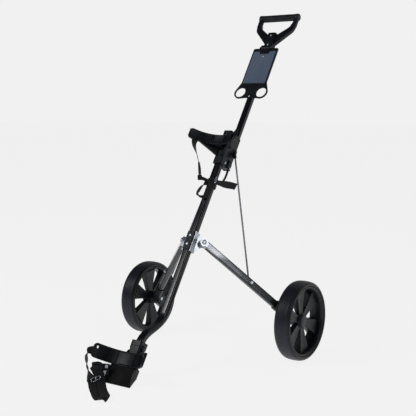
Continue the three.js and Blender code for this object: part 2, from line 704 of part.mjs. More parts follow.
function scoreClip() {
  const half = CLIP_WIDTH / 2;
  const barrel = along('x', rod(CLIP_PIN_DIAMETER / 2 + CLIP_BARREL_WALL, -half, half, 20))
    .translate(0, clipPinY(), clipPinZ());
  const back = cardPanelFront() - GAP;
  const flap = box(-half, half, back - CLIP_THICKNESS, back, clipPinZ() - CLIP_HEIGHT, clipPinZ());
  const tabFront = clipPinY() - CLIP_TAB_FRONT;
  const tabTop = clipPinZ() + CLIP_TAB_HEIGHT;
  const tab = box(-half, half, tabFront, tabFront + CLIP_TAB_THICKNESS, clipPinZ(), tabTop);
  return cut(joined(barrel, flap, tab), clipPinRod(PIN_GAP, OVERRUN));
}

// ---------------------------------------------------------------- screws from the front

function screwBore(front, back, height) {
  const reach = SCREW_DIAMETER / 2 + PIN_GAP;
  return along('y', rod(reach, front - OVERRUN, back, 12)).translate(0, 0, height);
}

function frontScrewHole(height) {
  return screwBore(cardPanelFront(), handleTubeFront() + TUBE_WALL + OVERRUN, height);
}

function frontScrew(seat, length, height) {
  const screw = bolt(SCREW_DIAMETER / 2, SCREW_HEAD_DIAMETER / 2, SCREW_HEAD_HEIGHT, length, 12);
  return screw.rotateX(Math.PI / 2).translate(0, seat - GAP, height);
}

// ---------------------------------------------------------------- slider body and upper cradle

function sliderBody() {
  const front = sliderFront();
  const depth = SLIDER_BACK - front;
  const block = prism(roundedRect(2 * SLIDER_HALF_WIDTH, depth, BODY_CORNER), SLIDER_BOTTOM, SLIDER_TOP)
    .translate(0, (SLIDER_BACK + front) / 2, 0);
  const bore = prism(
    roundedRect(
      MAIN_TUBE_WIDTH + 2 * SLIDE_GAP,
      MAIN_TUBE_DEPTH + 2 * SLIDE_GAP,
      MAIN_TUBE_CORNER + SLIDE_GAP,
    ),
    SLIDER_BOTTOM - OVERRUN,
    SLIDER_TOP + OVERRUN,
  );
  const width = HANDLE_TUBE_WIDTH / 2 + GAP;
  const groove = box(
    -width,
    width,
    handleTubeFront() - GAP,
    SLIDER_BACK + OVERRUN,
    SLIDER_BOTTOM,
    SLIDER_TOP + OVERRUN,
  );
  const heel = box(
    -SLIDER_HALF_WIDTH - OVERRUN,
    SLIDER_HALF_WIDTH + OVERRUN,
    MAIN_TUBE_DEPTH / 2 + SLIDE_GAP + SLIDER_HEEL_WALL,
    SLIDER_BACK + OVERRUN,
    SLIDER_BOTTOM - OVERRUN,
    END_BLOCK_TOP + GAP,
  );
  const shaped = cut(block, bore, groove, heel);
  const lug = strutLug();
  const ears = leverEars();
  const cutters = [leverPinRod(PIN_GAP, OVERRUN), sliderScrewBore(), cradleBore()];
  return cut(joined(shaped, lug, mirrored(lug), ...ears), ...cutters);
}

// The side lug that the strut's top lies against, in the plane that the leg folds in.
function strutLug() {
  const near = strutPlane() + FERRULE_DIAMETER / 2 + LUG_GAP;
  const shape = roundedRect(LUG_WIDTH, LUG_HEIGHT, LUG_CORNER);
  return slab(shape, near, near + LUG_THICKNESS)
    .translate(STRUT_TOP_OUT - LUG_INSET, 0, STRUT_TOP_UP)
    .applyMatrix4(foldMatrix);
}

function cradleArc(halfChord, sag) {
  const radius = (halfChord * halfChord + sag * sag) / (2 * sag);
  return { radius, halfAngle: Math.asin(halfChord / radius) };
}

// A band that is hollow towards the bag, with its back at y = back where it crosses the middle.
function cradleBand(halfChord, sag, back, bottom, top) {
  const { radius, halfAngle } = cradleArc(halfChord, sag);
  const centre = back - CRADLE_BAND / 2 - radius;
  const shape = new THREE.Shape();
  const up = Math.PI / 2;
  shape.absarc(0, centre, radius + CRADLE_BAND / 2, up - halfAngle, up + halfAngle);
  shape.absarc(0, centre, radius - CRADLE_BAND / 2, up + halfAngle, up - halfAngle, true);
  const band = prism(shape, bottom, top, 14);
  const slot = strapSlot(radius, halfAngle, centre, (bottom + top) / 2);
  return cut(band, slot, mirrored(slot));
}

// A slot through the band near its tip, for a strap.
function strapSlot(radius, halfAngle, centre, height) {
  const half = STRAP_SLOT_LENGTH / 2;
  const slot = box(
    -STRAP_SLOT_WIDTH / 2,
    STRAP_SLOT_WIDTH / 2,
    radius - CRADLE_BAND,
    radius + CRADLE_BAND,
    -half,
    half,
  );
  return slot.rotateZ(-(halfAngle - STRAP_SLOT_INSET / radius)).translate(0, centre, height);
}

// A web from the stand-off out to the band, deeper at the stand-off.
function gusset() {
  const band = cradleArc(CRADLE_HALF_CHORD, CRADLE_SAG);
  const outer = band.radius + CRADLE_BAND / 2;
  const centre = -UPPER_BAND_STANDOFF - outer;
  const reachY = centre + Math.sqrt(outer * outer - GUSSET_REACH * GUSSET_REACH) - CRADLE_BAND / 2;
  const start = new THREE.Vector2(STANDOFF_HALF_WIDTH - GUSSET_ROOT, sliderFront() - GUSSET_ROOT - OVERRUN);
  const end = new THREE.Vector2(GUSSET_REACH, reachY);
  const length = start.distanceTo(end);
  const shape = polygon([
    [0, SLIDER_BOTTOM + GUSSET_BOTTOM],
    [length, UPPER_BAND_BOTTOM + GUSSET_INSET],
    [length, UPPER_BAND_TOP - GUSSET_INSET],
    [0, UPPER_BAND_TOP - GUSSET_INSET],
  ]);
  return slab(shape, -GUSSET_THICKNESS / 2, GUSSET_THICKNESS / 2)
    .rotateZ(end.clone().sub(start).angle())
    .translate(start.x, start.y, 0);
}

function upperCradle() {
  const band = cradleBand(
    CRADLE_HALF_CHORD,
    CRADLE_SAG,
    -UPPER_BAND_STANDOFF,
    UPPER_BAND_BOTTOM,
    UPPER_BAND_TOP,
  );
  const standoff = box(
    -STANDOFF_HALF_WIDTH,
    STANDOFF_HALF_WIDTH,
    -UPPER_BAND_STANDOFF - CRADLE_BAND / 3,
    sliderFront() - GAP,
    SLIDER_BOTTOM + STANDOFF_BOTTOM,
    UPPER_BAND_TOP,
  );
  const web = gusset();
  return cut(joined(band, standoff, web, mirrored(web)), cradleBore());
}

function cradleBoltHeight() {
  return (UPPER_BAND_BOTTOM + UPPER_BAND_TOP) / 2;
}

function cradleBore() {
  const radius = CRADLE_BOLT_DIAMETER / 2 + PIN_GAP;
  const front = -UPPER_BAND_STANDOFF - CRADLE_BORE_REACH;
  return along('y', rod(radius, front, sliderFront() + SLIDER_WALL + OVERRUN, 12))
    .translate(0, 0, cradleBoltHeight());
}

function cradleBolt() {
  const seat = -UPPER_BAND_STANDOFF - CRADLE_BAND - GAP;
  const length = sliderFront() + SLIDER_WALL - OVERRUN - seat;
  const radius = CRADLE_BOLT_DIAMETER / 2;
  const shape = bolt(radius, CRADLE_BOLT_DIAMETER, CRADLE_BOLT_HEAD_HEIGHT, length, 12);
  return shape.rotateX(Math.PI / 2).translate(0, seat - GAP, cradleBoltHeight());
}

// ---------------------------------------------------------------- clamp lever

function leverEars() {
  const inner = LEVER_WIDTH / 2 + PIN_GAP;
  const ear = (low, high) => box(
    SLIDER_HALF_WIDTH - OVERRUN,
    LEVER_PIN_X + LEVER_EAR_REACH,
    low,
    high,
    LEVER_PIN_Z - LEVER_EAR_BELOW,
    LEVER_PIN_Z + LEVER_EAR_ABOVE,
  );
  const outer = inner + LEVER_EAR_THICKNESS;
  return [ear(inner, outer), ear(-outer, -inner)];
}

function leverPinRod(extraRadius, extraLength) {
  const reach = LEVER_WIDTH / 2 + PIN_GAP + LEVER_EAR_THICKNESS + extraLength;
  return along('y', rod(LEVER_PIN_DIAMETER / 2 + extraRadius, -reach, reach, 12))
    .translate(LEVER_PIN_X, 0, LEVER_PIN_Z);
}

function clampLever() {
  const half = LEVER_WIDTH / 2;
  const hub = along('y', rod(LEVER_HUB_RADIUS, -half, half, 20)).translate(LEVER_PIN_X, 0, LEVER_PIN_Z);
  const arm = box(
    LEVER_PIN_X - LEVER_THICKNESS / 2,
    LEVER_PIN_X + LEVER_THICKNESS / 2,
    -half,
    half,
    LEVER_PIN_Z - LEVER_LENGTH,
    LEVER_PIN_Z,
  );
  return cut(joined(hub, arm), leverPinRod(PIN_GAP, OVERRUN));
}

function sliderScrewBore() {
  const radius = SCREW_DIAMETER / 2 + PIN_GAP;
  return along('x', rod(radius, SLIDER_HALF_WIDTH - SLIDER_SCREW_BORE, SLIDER_HALF_WIDTH + OVERRUN, 12))
    .translate(0, SLIDER_SCREW_Y, SLIDER_SCREW_Z);
}

function sliderScrew() {
  const length = SLIDER_HALF_WIDTH - MAIN_TUBE_WIDTH / 2 - SLIDE_GAP - SCREW_TIP_GAP;
  const shape = bolt(
    SCREW_DIAMETER / 2,
    SLIDER_SCREW_HEAD_RADIUS,
    SLIDER_SCREW_HEAD_HEIGHT,
    length,
    12,
  );
  return along('x', shape).translate(SLIDER_HALF_WIDTH + GAP, SLIDER_SCREW_Y, SLIDER_SCREW_Z);
}

// ---------------------------------------------------------------- end block under the handle tube

function endBlock() {
  const width = HANDLE_TUBE_WIDTH + 2 * END_BLOCK_WALL;
  const depth = HANDLE_TUBE_DEPTH + 2 * END_BLOCK_WALL;
  const block = prism(roundedRect(width, depth, BODY_CORNER), END_BLOCK_BOTTOM, END_BLOCK_TOP)
    .translate(0, HANDLE_TUBE_OFFSET, 0);
  const pocket = prism(
    roundedRect(HANDLE_TUBE_WIDTH + 2 * GAP, HANDLE_TUBE_DEPTH + 2 * GAP, HANDLE_TUBE_CORNER + GAP),
    HANDLE_TUBE_BOTTOM - GAP,
    END_BLOCK_TOP + OVERRUN,
  ).translate(0, HANDLE_TUBE_OFFSET, 0);
  return cut(block, pocket, endBlockBore());
}

function endBlockBore() {
  const reach = HANDLE_TUBE_WIDTH;
  return along('x', rod(SCREW_DIAMETER / 2 + PIN_GAP, -reach, reach, 12))
    .translate(0, HANDLE_TUBE_OFFSET + END_BOLT_BACK, END_BOLT_Z);
}

function endBlockBolt() {
  const half = HANDLE_TUBE_WIDTH / 2 + END_BLOCK_WALL;
  const shape = bolt(SCREW_DIAMETER / 2, END_BOLT_HEAD_RADIUS, END_BOLT_HEAD_HEIGHT, 2 * half, 12);
  return along('x', shape).translate(half + GAP, HANDLE_TUBE_OFFSET + END_BOLT_BACK, END_BOLT_Z);
}

// ---------------------------------------------------------------- leg hinge

function rivetHole(height) {
  const front = -MAIN_TUBE_DEPTH / 2 - GAP - FRONT_PLATE_THICKNESS - OVERRUN;
  const back = -MAIN_TUBE_DEPTH / 2 + TUBE_WALL + OVERRUN;
  return along('y', rod(RIVET_DIAMETER / 2 + GAP, front, back, 12)).translate(0, 0, height);
}

function rivet(height) {
  const seat = -MAIN_TUBE_DEPTH / 2 - GAP - FRONT_PLATE_THICKNESS;
  const length = FRONT_PLATE_THICKNESS + GAP + TUBE_WALL + RIVET_REACH;
  return bolt(RIVET_DIAMETER / 2, RIVET_HEAD_DIAMETER / 2, RIVET_HEAD_HEIGHT, length, 12)
    .rotateX(Math.PI / 2)
    .translate(0, seat - GAP, height);
}

function hingeFrontPlate() {
  const back = -MAIN_TUBE_DEPTH / 2 - GAP;
  const height = BRACKET_TOP - BRACKET_BOTTOM - 2 * FRONT_PLATE_INSET;
  const plate = slab(roundedRect(MAIN_TUBE_WIDTH, height, BODY_CORNER), back - FRONT_PLATE_THICKNESS, back, 4)
    .translate(0, 0, (BRACKET_TOP + BRACKET_BOTTOM) / 2);
  return cut(plate, ...rivetHeights().map(rivetHole));
}

function hingeEar() {
  const pivotSide = pivot.dot(foldSide);
  const near = LEG_THICKNESS / 2 + GAP;
  const shape = new THREE.Shape();
  shape.moveTo(MAIN_TUBE_WIDTH / 2, BRACKET_BOTTOM + EAR_INSET);
  shape.lineTo(pivotSide, LEG_PIVOT_UP - EAR_RADIUS);
  shape.absarc(pivotSide, LEG_PIVOT_UP, EAR_RADIUS, -Math.PI / 2, Math.PI / 2);
  shape.lineTo(MAIN_TUBE_WIDTH / 2, BRACKET_TOP - EAR_INSET);
  return slab(shape, near, near + BRACKET_SHEET, 5).applyMatrix4(foldMatrix);
}

function hingeBracket() {
  const inX = MAIN_TUBE_WIDTH / 2 + GAP;
  const inBack = MAIN_TUBE_DEPTH / 2 + GAP;
  const outX = inX + BRACKET_SHEET;
  const front = -MAIN_TUBE_DEPTH / 2;
  const channel = box(-outX, outX, front, inBack + BRACKET_SHEET, BRACKET_BOTTOM, BRACKET_TOP);
  const inside = box(
    -inX,
    inX,
    front - MAIN_TUBE_DEPTH,
    inBack,
    BRACKET_BOTTOM - OVERRUN,
    BRACKET_TOP + OVERRUN,
  );
  const ear = hingeEar();
  const bore = pivotRod(PIVOT_BOLT_DIAMETER / 2 + PIN_GAP, -2 * LEG_THICKNESS, 2 * LEG_THICKNESS);
  return cut(joined(channel, ear, mirrored(ear)), inside, bore, mirrored(bore));
}

// A rod on the leg's pivot line, measured outwards from the middle of the leg.
function pivotRod(radius, low, high) {
  return along('y', rod(radius, low, high, 16)).applyMatrix4(legMatrix);
}

function pivotBolt() {
  const seat = LEG_THICKNESS / 2 + GAP;
  const length = seat + LEG_THICKNESS / 2 + GAP + BRACKET_SHEET + GAP + NUT_HEIGHT + BOLT_PROUD;
  return along('y', bolt(PIVOT_BOLT_DIAMETER / 2, PIVOT_HEAD_DIAMETER / 2, PIVOT_HEAD_HEIGHT, length, 16))
    .translate(0, seat, 0)
    .applyMatrix4(legMatrix);
}

function pivotNut() {
  const shape = new THREE.Shape();
  const corner = NUT_WIDTH / Math.sqrt(3);
  for (let i = 0; i < 6; i += 1) {
    const place = [corner * Math.cos((i * Math.PI) / 3), corner * Math.sin((i * Math.PI) / 3)];
    if (i === 0) shape.moveTo(...place);
    else shape.lineTo(...place);
  }
  const hole = new THREE.Path();
  hole.absarc(0, 0, PIVOT_BOLT_DIAMETER / 2 + GAP, 0, 2 * Math.PI);
  shape.holes.push(hole);
  const near = LEG_THICKNESS / 2 + GAP + BRACKET_SHEET + GAP;
  return along('y', prism(shape, -near - NUT_HEIGHT, -near, 6)).applyMatrix4(legMatrix);
}

// ---------------------------------------------------------------- legs

function legKnuckle() {
  const round = along('y', rod(LEG_WIDTH / 2 + KNUCKLE_PROUD, -LEG_THICKNESS / 2, LEG_THICKNESS / 2, 20));
  const collar = prism(roundedRect(LEG_WIDTH, LEG_THICKNESS, LEG_CORNER), 0, LEG_TUBE_START - GAP);
  const plug = prism(
    roundedRect(
      LEG_WIDTH - 2 * (TUBE_WALL + GAP),
      LEG_THICKNESS - 2 * (TUBE_WALL + GAP),
      LEG_CORNER - TUBE_WALL - GAP,
    ),
    0,
    LEG_TUBE_START + KNUCKLE_PLUG_LENGTH,
  );
  const bore = along('y', rod(PIVOT_BOLT_DIAMETER / 2 + PIN_GAP, -LEG_THICKNESS, LEG_THICKNESS, 16));
  return cut(joined(round, collar, plug), bore).applyMatrix4(legMatrix);
}

function strutPinBore() {
  return along('y', rod(STRUT_DIAMETER / 2 + PIN_GAP, -LEG_THICKNESS, LEG_THICKNESS, 12))
    .translate(0, 0, STRUT_JOINT_REACH);
}

function leg() {
  const tube = straightTube(LEG_WIDTH, LEG_THICKNESS, LEG_CORNER, LEG_TUBE_START, legTubeEnd());
  return cut(tube, strutPinBore()).applyMatrix4(legMatrix);
}

function legTubeEnd() {
  return legReach - LEG_TUBE_CUTBACK;
}

// The moulded elbow on the leg's lower end, with a boss across it that holds the axle.
function legElbow() {
  const socket = prism(
    roundedRect(LEG_WIDTH + 2 * ELBOW_WALL, LEG_THICKNESS + 2 * ELBOW_WALL, LEG_CORNER + ELBOW_WALL),
    legTubeEnd() - ELBOW_OVERLAP,
    legReach - ELBOW_NECK,
  );
  const pocket = prism(
    roundedRect(LEG_WIDTH + 2 * GAP, LEG_THICKNESS + 2 * GAP, LEG_CORNER + GAP),
    legTubeEnd() - ELBOW_OVERLAP - OVERRUN,
    legTubeEnd() + GAP,
  );
  const boss = along('x', rod(ELBOW_BOSS_RADIUS, legEndX - ELBOW_BOSS_LENGTH, legEndX, 20))
    .translate(0, 0, wheelRadius)
    .applyMatrix4(worldToTube);
  const body = joined(socket.applyMatrix4(legMatrix), boss);
  return cut(body, pocket.applyMatrix4(legMatrix), axleRod(PIN_GAP, OVERRUN).applyMatrix4(worldToTube));
}

// ---------------------------------------------------------------- struts

function strutEnds() {
  const low = new THREE.Vector3(0, 0, STRUT_JOINT_REACH).applyMatrix4(legMatrix);
  const side = low.dot(foldSide);
  return { low: new THREE.Vector2(side, low.z), high: new THREE.Vector2(STRUT_TOP_OUT, STRUT_TOP_UP) };
}

// Geometry made up the z axis, laid from the strut's lower joint towards its top.
function upStrut(geometry) {
  const { low, high } = strutEnds();
  const run = high.clone().sub(low);
  return geometry
    .rotateY(Math.atan2(run.x, run.y))
    .translate(low.x, strutPlane(), low.y)
    .applyMatrix4(foldMatrix);
}

function strutLength() {
  const { low, high } = strutEnds();
  return high.distanceTo(low);
}

function strut() {
  const radius = STRUT_DIAMETER / 2;
  const shaft = upStrut(rod(radius, 0, strutLength(), 12));
  const corner = upStrut(new THREE.SphereGeometry(radius, 12, 8));
  const pin = upStrut(along('y', rod(radius, -2 * strutPlane() - STRUT_PIN_PROUD, 0, 12)));
  return joined(shaft, corner, pin);
}

function strutCap() {
  const seat = -LEG_THICKNESS / 2 - GAP;
  const low = -strutPlane() + seat;
  const end = -2 * strutPlane() - STRUT_PIN_PROUD;
  const outer = STRUT_DIAMETER / 2 + STRUT_CAP_WALL;
  const inner = STRUT_DIAMETER / 2 + GAP;
  const profile = [
    [0, end - GAP - STRUT_CAP_FLOOR],
    [outer * CHAMFER_SHARE, end - GAP - STRUT_CAP_FLOOR],
    [outer, end - GAP],
    [outer, low],
    [inner, low],
    [inner, end - GAP],
    [0, end - GAP],
  ];
  return upStrut(along('y', turned(profile, 16)));
}

function strutFerrule() {
  const radius = FERRULE_DIAMETER / 2;
  const top = strutLength();
  const inner = STRUT_DIAMETER / 2 + GAP;
  const low = top - FERRULE_LENGTH + radius;
  const profile = [
    [inner, low],
    [radius * CHAMFER_SHARE, low],
    [radius, low + FERRULE_TAPER],
    [radius, top],
    [radius * CHAMFER_SHARE, top + radius * CHAMFER_SHARE],
    [0, top + radius],
    [0, top + GAP],
    [inner, top + GAP],
    [inner, low],
  ];
  return upStrut(turned(profile, 16));
}

// ---------------------------------------------------------------- wheels, in world space

// Geometry about the z axis, turned to the wheel's axis at its middle plane.
function onWheel(geometry) {
  return along('x', geometry).translate(TRACK / 2, 0, wheelRadius);
}

function closedRing(points, segments) {
  return turned([...points, points[0]], segments);
}

function rimSeat() {
  return wheelRadius - TYRE_WALL - GAP;
}

function tyre() {
  const half = TYRE_WIDTH / 2;
  const seatHalf = RIM_WIDTH / 2 - RIM_LIP_WIDTH - GAP;
  const seat = rimSeat() + GAP;
  const shoulder = wheelRadius - TYRE_SHOULDER;
  const lip = seat + RIM_LIP + GAP;
  const side = [];
  for (let i = 0; i <= 3; i += 1) {
    const angle = (i / 3) * (Math.PI / 2);
    const across = half - TYRE_SHOULDER + TYRE_SHOULDER * Math.cos(angle);
    side.push([shoulder + TYRE_SHOULDER * Math.sin(angle), across]);
  }
  const outer = [[seat, seatHalf], [lip, seatHalf], [lip, RIM_WIDTH / 2 - 1], ...side];
  const inner = outer.map(([r, a]) => [r, -a]).reverse();
  return onWheel(closedRing([...outer, ...inner], 40));
}

function spoke(index) {
  const outer = rimSeat() - RIM_WALL / 2;
  const spread = Math.asin(SPOKE_HALF_WIDTH_RIM / outer);
  const shape = new THREE.Shape();
  shape.moveTo(HUB_RADIUS - 2, -SPOKE_HALF_WIDTH_HUB);
  shape.lineTo(outer * Math.cos(spread), -SPOKE_HALF_WIDTH_RIM);
  shape.absarc(0, 0, outer, -spread, spread);
  shape.lineTo(HUB_RADIUS - 2, SPOKE_HALF_WIDTH_HUB);
  const plate = prism(shape, -SPOKE_THICKNESS / 2, SPOKE_THICKNESS / 2, 3);
  return plate.rotateZ((2 * Math.PI * index) / SPOKE_COUNT + SPOKE_PHASE);
}

function rim() {
  const seat = rimSeat();
  const inner = seat - RIM_WALL;
  const lip = seat + RIM_LIP;
  const edge = RIM_WIDTH / 2;
  const step = edge - RIM_LIP_WIDTH;
  const barrel = closedRing([
    [inner, -edge],
    [lip, -edge],
    [lip, -step],
    [seat, -step],
    [seat, step],
    [lip, step],
    [lip, edge],
    [inner, edge],
  ], 40);
  const bore = AXLE_DIAMETER / 2 + PIN_GAP;
  const hub = closedRing([
    [bore, HUB_OUTER_REACH],
    [HUB_RADIUS, HUB_OUTER_REACH],
    [HUB_RADIUS, -HUB_INNER_REACH],
    [bore, -HUB_INNER_REACH],
  ], 24);
  const spokes = [];
  for (let i = 0; i < SPOKE_COUNT; i += 1) spokes.push(spoke(i));
  const axleBore = rod(bore, -2 * HUB_INNER_REACH, 2 * HUB_INNER_REACH, 24);
  return onWheel(cut(joined(barrel, hub, ...spokes), axleBore));
}

function hubCap() {
  const low = HUB_OUTER_REACH + GAP;
  const high = HUB_OUTER_REACH + HUB_CAP_THICKNESS;
  const recess = AXLE_HEAD_DIAMETER / 2 + PIN_GAP;
  const floor = low + AXLE_HEAD_THICKNESS + 2 * GAP;
  const outer = HUB_RADIUS - HUB_CAP_INSET;
  const profile = [
    [0, floor],
    [recess, floor],
    [recess, low],
    [outer, low],
    [outer, high - HUB_CAP_CHAMFER],
    [outer - HUB_CAP_CHAMFER, high],
    [0, high],
  ];
  return onWheel(turned(profile, 24));
}

function axleRod(extraRadius, extraLength) {
  const low = legEndX - ELBOW_BOSS_LENGTH - extraLength;
  const high = TRACK / 2 + HUB_OUTER_REACH + GAP;
  return along('x', rod(AXLE_DIAMETER / 2 + extraRadius, low, high, 20)).translate(0, 0, wheelRadius);
}

function axle() {
  const seat = TRACK / 2 + HUB_OUTER_REACH + GAP;
  const head = along('x', rod(AXLE_HEAD_DIAMETER / 2, seat, seat + AXLE_HEAD_THICKNESS, 20));
  return joined(axleRod(0, 0), head.translate(0, 0, wheelRadius));
}

// ---------------------------------------------------------------- lower cradle and foot

// Everything below a level plane at this height above the ground, in tube space.
function belowLevel(height) {
  return box(-200, 200, -900, 200, height - 300, height).applyMatrix4(worldToTube);
}

function footPlan(inset) {
  const front = FOOT_FRONT + inset;
  const back = footBack() - inset;
  return polygon([
    [-FOOT_HALF_WIDTH_FRONT + inset, front],
    [FOOT_HALF_WIDTH_FRONT - inset, front],
    [FOOT_HALF_WIDTH_BACK - inset, back],
    [-FOOT_HALF_WIDTH_BACK + inset, back],
  ]);
}

function footBack() {
  return -BEND_OFFSET + MAIN_TUBE_DEPTH / 2 + SOCKET_WALL + GAP;
}

function lowerCradle() {
  const band = cradleBand(
    LOWER_HALF_CHORD,
    LOWER_SAG,
    -LOWER_BAND_STANDOFF,
    LOWER_BAND_BOTTOM,
    LOWER_BAND_TOP,
  );
  const socketX = MAIN_TUBE_WIDTH / 2 + GAP + SOCKET_WALL;
  const socketBottom = LOWER_BAND_BOTTOM - SOCKET_BELOW_BAND;
  const socketFront = -BEND_OFFSET - MAIN_TUBE_DEPTH / 2 - GAP - SOCKET_WALL;
  const socket = box(-socketX, socketX, socketFront, footBack(), socketBottom, SOCKET_TOP);
  const bridge = box(
    -socketX,
    socketX,
    -LOWER_BAND_STANDOFF - CRADLE_BAND / 3,
    socketFront + CRADLE_BAND / 3,
    socketBottom,
    LOWER_BAND_TOP,
  );
  const foot = prism(footPlan(0), FOOT_DEPTH, LOWER_BAND_BOTTOM + FOOT_UNDER_BAND);
  const pocket = bentRun(
    MAIN_TUBE_WIDTH + 2 * GAP,
    MAIN_TUBE_DEPTH + 2 * GAP,
    MAIN_TUBE_CORNER + GAP,
    GAP,
  );
  const floor = belowLevel(FOOT_PAD_THICKNESS + GAP);
  return cut(joined(band, socket, bridge, foot), pocket, floor, footBoltHole());
}

function footPad() {
  const plan = prism(footPlan(FOOT_PAD_INSET), FOOT_DEPTH, LOWER_BAND_BOTTOM);
  const slice = box(-200, 200, -900, 200, 0, FOOT_PAD_THICKNESS).applyMatrix4(worldToTube);
  return geometryOf(solidOf(plan).intersect(solidOf(slice)));
}

function footBoltHole() {
  const radius = FOOT_BOLT_DIAMETER / 2 + PIN_GAP;
  const reach = 2 * (MAIN_TUBE_WIDTH + SOCKET_WALL);
  return along('x', rod(radius, -reach, reach, 16)).translate(0, -BEND_OFFSET, FOOT_BOLT_UP);
}

function footBolt() {
  const seat = MAIN_TUBE_WIDTH / 2 + SOCKET_WALL + 2 * GAP;
  const headRadius = FOOT_BOLT_DIAMETER * 0.9;
  const shape = bolt(FOOT_BOLT_DIAMETER / 2, headRadius, FOOT_BOLT_HEAD_HEIGHT, 2 * seat + OVERRUN, 12);
  return along('x', shape).translate(seat, -BEND_OFFSET, FOOT_BOLT_UP);
}

// ---------------------------------------------------------------- straps

// A flat strip between two points, with its width kept as close as it can be to a direction.
function strip(start, end, widthWay, width, thickness) {
  const run = new THREE.Vector3().subVectors(end, start);
  const up = run.clone().normalize();
  const side = widthWay.clone().addScaledVector(up, -widthWay.dot(up)).normalize();
  const matrix = new THREE.Matrix4().makeBasis(side, up.clone().cross(side), up).setPosition(start);
  return box(-width / 2, width / 2, -thickness / 2, thickness / 2, 0, run.length())
    .applyMatrix4(matrix);
}

// The upper buckle's lower end, beside the wrap and clear of it.
function upperBucklePlace() {
  const left = collarX() + collarSkin() + BUCKLE_THICKNESS + UPPER_BUCKLE_SIZE[0] / 2;
  return new THREE.Vector3(-left, -2 * collarY() + 0.6, COLLAR_BOTTOM + BUCKLE_CORNER * 3);
}

function upperStrap() {
  const high = new THREE.Vector3(
    -CRADLE_HALF_CHORD + STRAP_TOP_INSET,
    STRAP_TOP_FRONT,
    UPPER_BAND_BOTTOM - STRAP_TO_BAND,
  );
  const low = upperBucklePlace().add(new THREE.Vector3(-1, -6, UPPER_BUCKLE_SIZE[1] + 4));
  return strip(high, low, new THREE.Vector3(0, 1, 1), UPPER_WEBBING_WIDTH, WEBBING_THICKNESS);
}

function upperBuckle() {
  const [width, height] = UPPER_BUCKLE_SIZE;
  const place = upperBucklePlace();
  return prism(roundedRect(width, BUCKLE_THICKNESS, BUCKLE_CORNER), 0, height)
    .rotateY(UPPER_BUCKLE_TURN)
    .translate(place.x, place.y, place.z);
}

function strapCollar() {
  const skin = collarSkin();
  const shape = roundedRect(2 * (collarX() + skin), 2 * (collarY() + skin), MAIN_TUBE_CORNER + skin);
  shape.holes.push(roundedRect(2 * collarX(), 2 * collarY(), MAIN_TUBE_CORNER));
  return prism(shape, COLLAR_BOTTOM, COLLAR_BOTTOM + UPPER_WEBBING_WIDTH);
}

function strapTail() {
  const x = collarX() + collarSkin() + TAIL_CLEARANCE + 2 * WEBBING_THICKNESS;
  const y = -collarY() / 2;
  const middle = COLLAR_BOTTOM + UPPER_WEBBING_WIDTH / 2;
  const start = new THREE.Vector3(x, y, middle);
  const end = new THREE.Vector3(x + TAIL_REACH, y - TAIL_FORWARD, middle - TAIL_DROP);
  return strip(start, end, new THREE.Vector3(0, 0, 1), UPPER_WEBBING_WIDTH, WEBBING_THICKNESS);
}

// A bent wire on the front of the wrap.
function strapHook() {
  const front = -(collarY() + collarSkin() + GAP + 1.3 * HOOK_WIRE);
  const points = HOOK_RISE.map((rise, i) => [HOOK_ACROSS[i], front - HOOK_BULGE[i], COLLAR_BOTTOM + rise]);
  return wire(points, HOOK_WIRE, 10, 6);
}

// The fallen webbing's middle line, above the ground it lies on.
const LOWER_STRAP_ROUTE = [
  [-93, -519, 58],
  [-101, -522, 38],
  [-104, -524, 20],
  [-94, -533, 8],
  [-66, -556, 5],
  [-30, -588, 5],
  [8, -620, 5],
  [38, -637, 5],
  [54, -632, 5],
  [52, -614, 5],
  [28, -590, 5],
  [-8, -561, 6],
  [-38, -538, 9],
];

function lowerStrap() {
  return wire(LOWER_STRAP_ROUTE, LOWER_STRAP_DIAMETER, 26, 6);
}

function wireRing() {
  const profile = [];
  for (let i = 0; i < 6; i += 1) {
    const angle = (i * Math.PI) / 3;
    profile.push([RING_RADIUS + (RING_WIRE / 2) * Math.cos(angle), (RING_WIRE / 2) * Math.sin(angle)]);
  }
  return closedRing(profile, 16).rotateX(RING_LEAN).translate(...RING_PLACE);
}

function lowerBuckle() {
  const [width, height] = LOWER_BUCKLE_SIZE;
  return prism(roundedRect(width, BUCKLE_THICKNESS, BUCKLE_CORNER), 0, height)
    .rotateX(LOWER_BUCKLE_LEAN)
    .translate(...LOWER_BUCKLE_PLACE);
}

// ---------------------------------------------------------------- the assembly

function addTubes() {
  add('main_tube', 'black_tube', mainTube());
  add('main_tube_plug', 'black_plastic', mainTubePlug());
  add('handle_tube', 'black_tube', handleTube());
}

function addHandle() {
  add('handle_body', 'black_plastic', handleBody());
  add('grip_sleeve', 'grip_foam', gripSleeve());
  add('upper_stem_screw', 'silver_metal', frontScrew(stemFront(), STEM_SCREW_LENGTH, UPPER_STEM_SCREW));
  add('lower_stem_screw', 'silver_metal', frontScrew(stemFront(), STEM_SCREW_LENGTH / 2, LOWER_STEM_SCREW));
}

function addCardHolder() {
  const toTube = handleTubeFront() + TUBE_WALL;
  add('scorecard_plate', 'black_plastic', cardPlate());
  add('score_panel', 'panel_slate', cardPanel());
  add('score_clip', 'black_plastic', scoreClip());
  add('clip_pin', 'silver_metal', clipPinRod(0, 0));
  const upperSeat = cardPanelFront();
  const lowerSeat = cardPlateFront();
  add('upper_plate_screw', 'silver_metal', frontScrew(upperSeat, toTube - upperSeat, UPPER_PLATE_SCREW));
  add('lower_plate_screw', 'silver_metal', frontScrew(lowerSeat, toTube - lowerSeat, LOWER_PLATE_SCREW));
}

